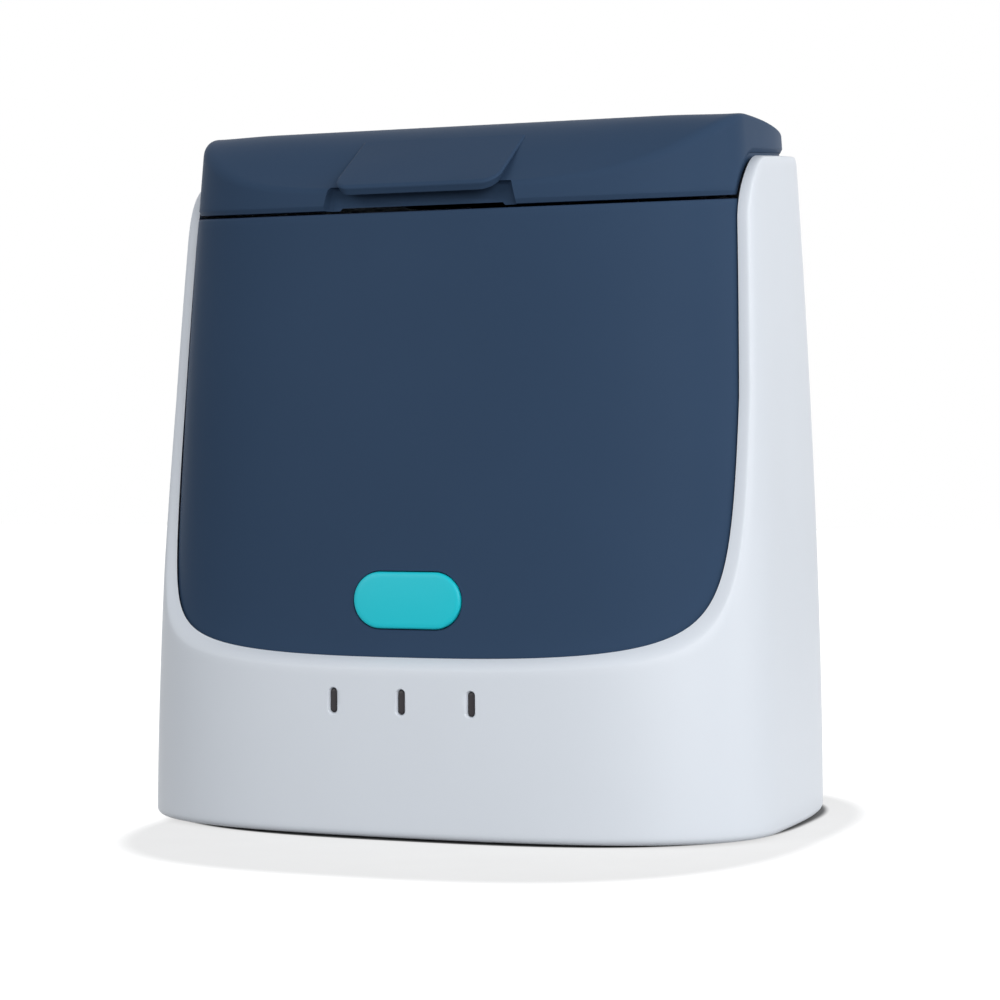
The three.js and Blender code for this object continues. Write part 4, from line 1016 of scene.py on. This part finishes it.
def soften(made, node):
    """Rounds a kept solid's edges and smooths its facets; its own points stay as they are."""
    if node.startswith(REPLACED):
        return
    made.data.shade_smooth()
    weld = made.modifiers.new("weld", "WELD")
    weld.merge_threshold = WELD_DISTANCE
    smallest = min(made.dimensions) / MM
    bevel = made.modifiers.new("edges", "BEVEL")
    bevel.width = min(EDGE_ROUNDS.get(node, EDGE_ROUND), LARGEST_ROUND * smallest) * MM
    bevel.segments = 2
    bevel.limit_method = "ANGLE"
    bevel.angle_limit = math.radians(ROUNDED_FROM)
    bevel.use_clamp_overlap = True
    even = made.modifiers.new("flat_faces", "WEIGHTED_NORMAL")
    even.keep_sharp = True


for node, made in frame["nodes"].items():
    slot_name = next(p["material_slot"] for p in frame["record"]["subparts"] if p["node"] == node)
    made.data.materials.clear()
    made.data.materials.append(FINISHES[slot_name])
    soften(made, node)


# Camera, light and floor

CAMERA = {"place": (0.17396, -0.45023, 0.0577), "turn": 21.23, "lens": 97.38, "shift_up": -0.01442}
LIT_PLACE = (0, 0, 0.06)
LAMPS = {  # place, size in metres, and power in watts
    "key": ((0.88, -0.83, 0.4), (1.1, 0.7), 9),
    "side": ((1.19, 0.2, 0.4), (0.7, 0.7), 4.65),
    "fill": ((-0.61, -1.04, 0.44), (0.7, 0.7), 3.9),
}
WORLD_COLOUR, WORLD_STRENGTH = (0.93, 0.96, 1, 1), 0.26

# Painted shadow on the floor, as rounded rectangles that lower the floor's white glow near the part: a painted dark
# contact line under the part, and a painted pale pool of shadow round it.
# Each goes from low to high between the near and the far share of its size
PAINTED_CONTACT_SHADOW = {"centre": (0, 0), "half": (0.0557, 0.0472), "near": 0.985, "far": 1.01, "low": 0, "high": 1}
PAINTED_SHADOW_POOL = {"centre": (0.0072, -0.017), "half": (0.0545, 0.067), "near": 1.0, "far": 1.1, "low": 0.66, "high": 1}
PAINTED_SHADOW_EXPONENT = 2.8


def add_camera():
    data = bpy.data.cameras.new("camera")
    data.sensor_width = 36
    data.lens = CAMERA["lens"]
    data.shift_y = CAMERA["shift_up"]
    made = new_object("camera", data)
    made.location = CAMERA["place"]
    made.rotation_euler = (math.pi / 2, 0, math.radians(CAMERA["turn"]))
    bpy.context.scene.camera = made


def area_light(name, place, size, power):
    data = bpy.data.lights.new(name, "AREA")
    data.shape = "RECTANGLE"
    data.size, data.size_y = size
    data.energy = power
    made = new_object(name, data)
    made.location = place
    made.rotation_euler = (Vector(LIT_PLACE) - Vector(place)).to_track_quat("-Z", "Y").to_euler()


def calculate(nodes, links, operation, first, second):
    """A Math node; each input is another node's output or a plain number."""
    made = nodes.new("ShaderNodeMath")
    made.operation = operation
    for socket, value in zip(made.inputs, (first, second)):
        if isinstance(value, (int, float)):
            socket.default_value = value
        else:
            links.new(value, socket)
    return made.outputs["Value"]


def seen_as_background(nodes, links):
    """1 for a ray from the camera, and for what metal and glass show; 0 for the light on the part."""
    rays = nodes.new("ShaderNodeLightPath").outputs
    reflected = calculate(nodes, links, "MAXIMUM", rays["Is Transmission Ray"], rays["Is Glossy Ray"])
    return calculate(nodes, links, "MAXIMUM", rays["Is Camera Ray"], reflected)


def painted_shadow_shape(nodes, links, place, shape):
    """A level that changes at the outline of a rounded rectangle on the floor, which shapes a painted shadow."""
    parts = nodes.new("ShaderNodeSeparateXYZ")
    links.new(place, parts.inputs["Vector"])
    powers = []
    for name, middle, size in zip("XY", shape["centre"], shape["half"]):
        offset = calculate(nodes, links, "SUBTRACT", parts.outputs[name], middle)
        share = calculate(nodes, links, "ABSOLUTE", calculate(nodes, links, "DIVIDE", offset, size), 0)
        powers.append(calculate(nodes, links, "POWER", share, PAINTED_SHADOW_EXPONENT))
    out = calculate(nodes, links, "POWER", calculate(nodes, links, "ADD", *powers), 1 / PAINTED_SHADOW_EXPONENT)
    made = nodes.new("ShaderNodeMapRange")
    made.interpolation_type = "SMOOTHSTEP"
    for name, key in (("From Min", "near"), ("From Max", "far"), ("To Min", "low"), ("To Max", "high")):
        made.inputs[name].default_value = shape[key]
    links.new(out, made.inputs["Value"])
    return made.outputs["Result"]


def floor_finish():
    """Plain pale floor that looks white away from the part; near the part its white glow is lowered into a painted
    pale shadow pool and a painted dark line under the part, and the lamps' real shadow also falls on its dim diffuse
    surface.
    """
    material, nodes, links, shader = new_material("pale_floor_with_painted_shadow")
    place = nodes.new("ShaderNodeNewGeometry").outputs["Position"]
    speckle = noise(nodes, links, place, 60.0)
    links.new(tone(nodes, links, speckle, (0.24, 0.24, 0.24), (0.26, 0.26, 0.26)), shader.inputs["Base Color"])
    set_inputs(shader, {"Roughness": 0.9, "Specular IOR Level": 0.1})
    # Painted shadow: these shapes lower the floor's glow into a pale pool and a dark line round the part
    painted_shadows = [painted_shadow_shape(nodes, links, place, shape) for shape in (PAINTED_SHADOW_POOL, PAINTED_CONTACT_SHADOW)]
    level = calculate(nodes, links, "MULTIPLY", *painted_shadows)
    glow = nodes.new("ShaderNodeEmission")
    glow.inputs["Color"].default_value = (1, 1, 1, 1)
    strength = calculate(nodes, links, "MULTIPLY", seen_as_background(nodes, links), level)
    links.new(strength, glow.inputs["Strength"])
    total = nodes.new("ShaderNodeAddShader")
    links.new(shader.outputs["BSDF"], total.inputs[0])
    links.new(glow.outputs["Emission"], total.inputs[1])
    links.new(total.outputs["Shader"], nodes["Material Output"].inputs["Surface"])
    return material


def add_floor():
    half, steps = 3.0, 12
    along = np.linspace(-half, half, steps)
    mesh = bpy.data.meshes.new("floor")
    mesh.from_pydata([(x, y, 0) for y in along for x in along], [], grid_faces(steps, steps))
    mesh.materials.append(floor_finish())
    made = new_object("floor", mesh)


def add_world():
    """A dim, even light, in front of which the background is white."""
    world = bpy.data.worlds.new("studio")
    bpy.context.scene.world = world
    world.use_nodes = True
    nodes, links = world.node_tree.nodes, world.node_tree.links
    light = nodes["Background"]
    set_inputs(light, {"Color": WORLD_COLOUR, "Strength": WORLD_STRENGTH})
    white = nodes.new("ShaderNodeBackground")
    set_inputs(white, {"Color": (1, 1, 1, 1), "Strength": 1})
    mix = nodes.new("ShaderNodeMixShader")
    links.new(seen_as_background(nodes, links), mix.inputs["Fac"])
    links.new(light.outputs["Background"], mix.inputs[1])
    links.new(white.outputs["Background"], mix.inputs[2])
    links.new(mix.outputs["Shader"], nodes["World Output"].inputs["Surface"])


add_camera()
for name, (place, size, power) in LAMPS.items():
    area_light(name, place, size, power)
add_floor()
add_world()

bpy.context.scene.view_settings.view_transform = "Standard"
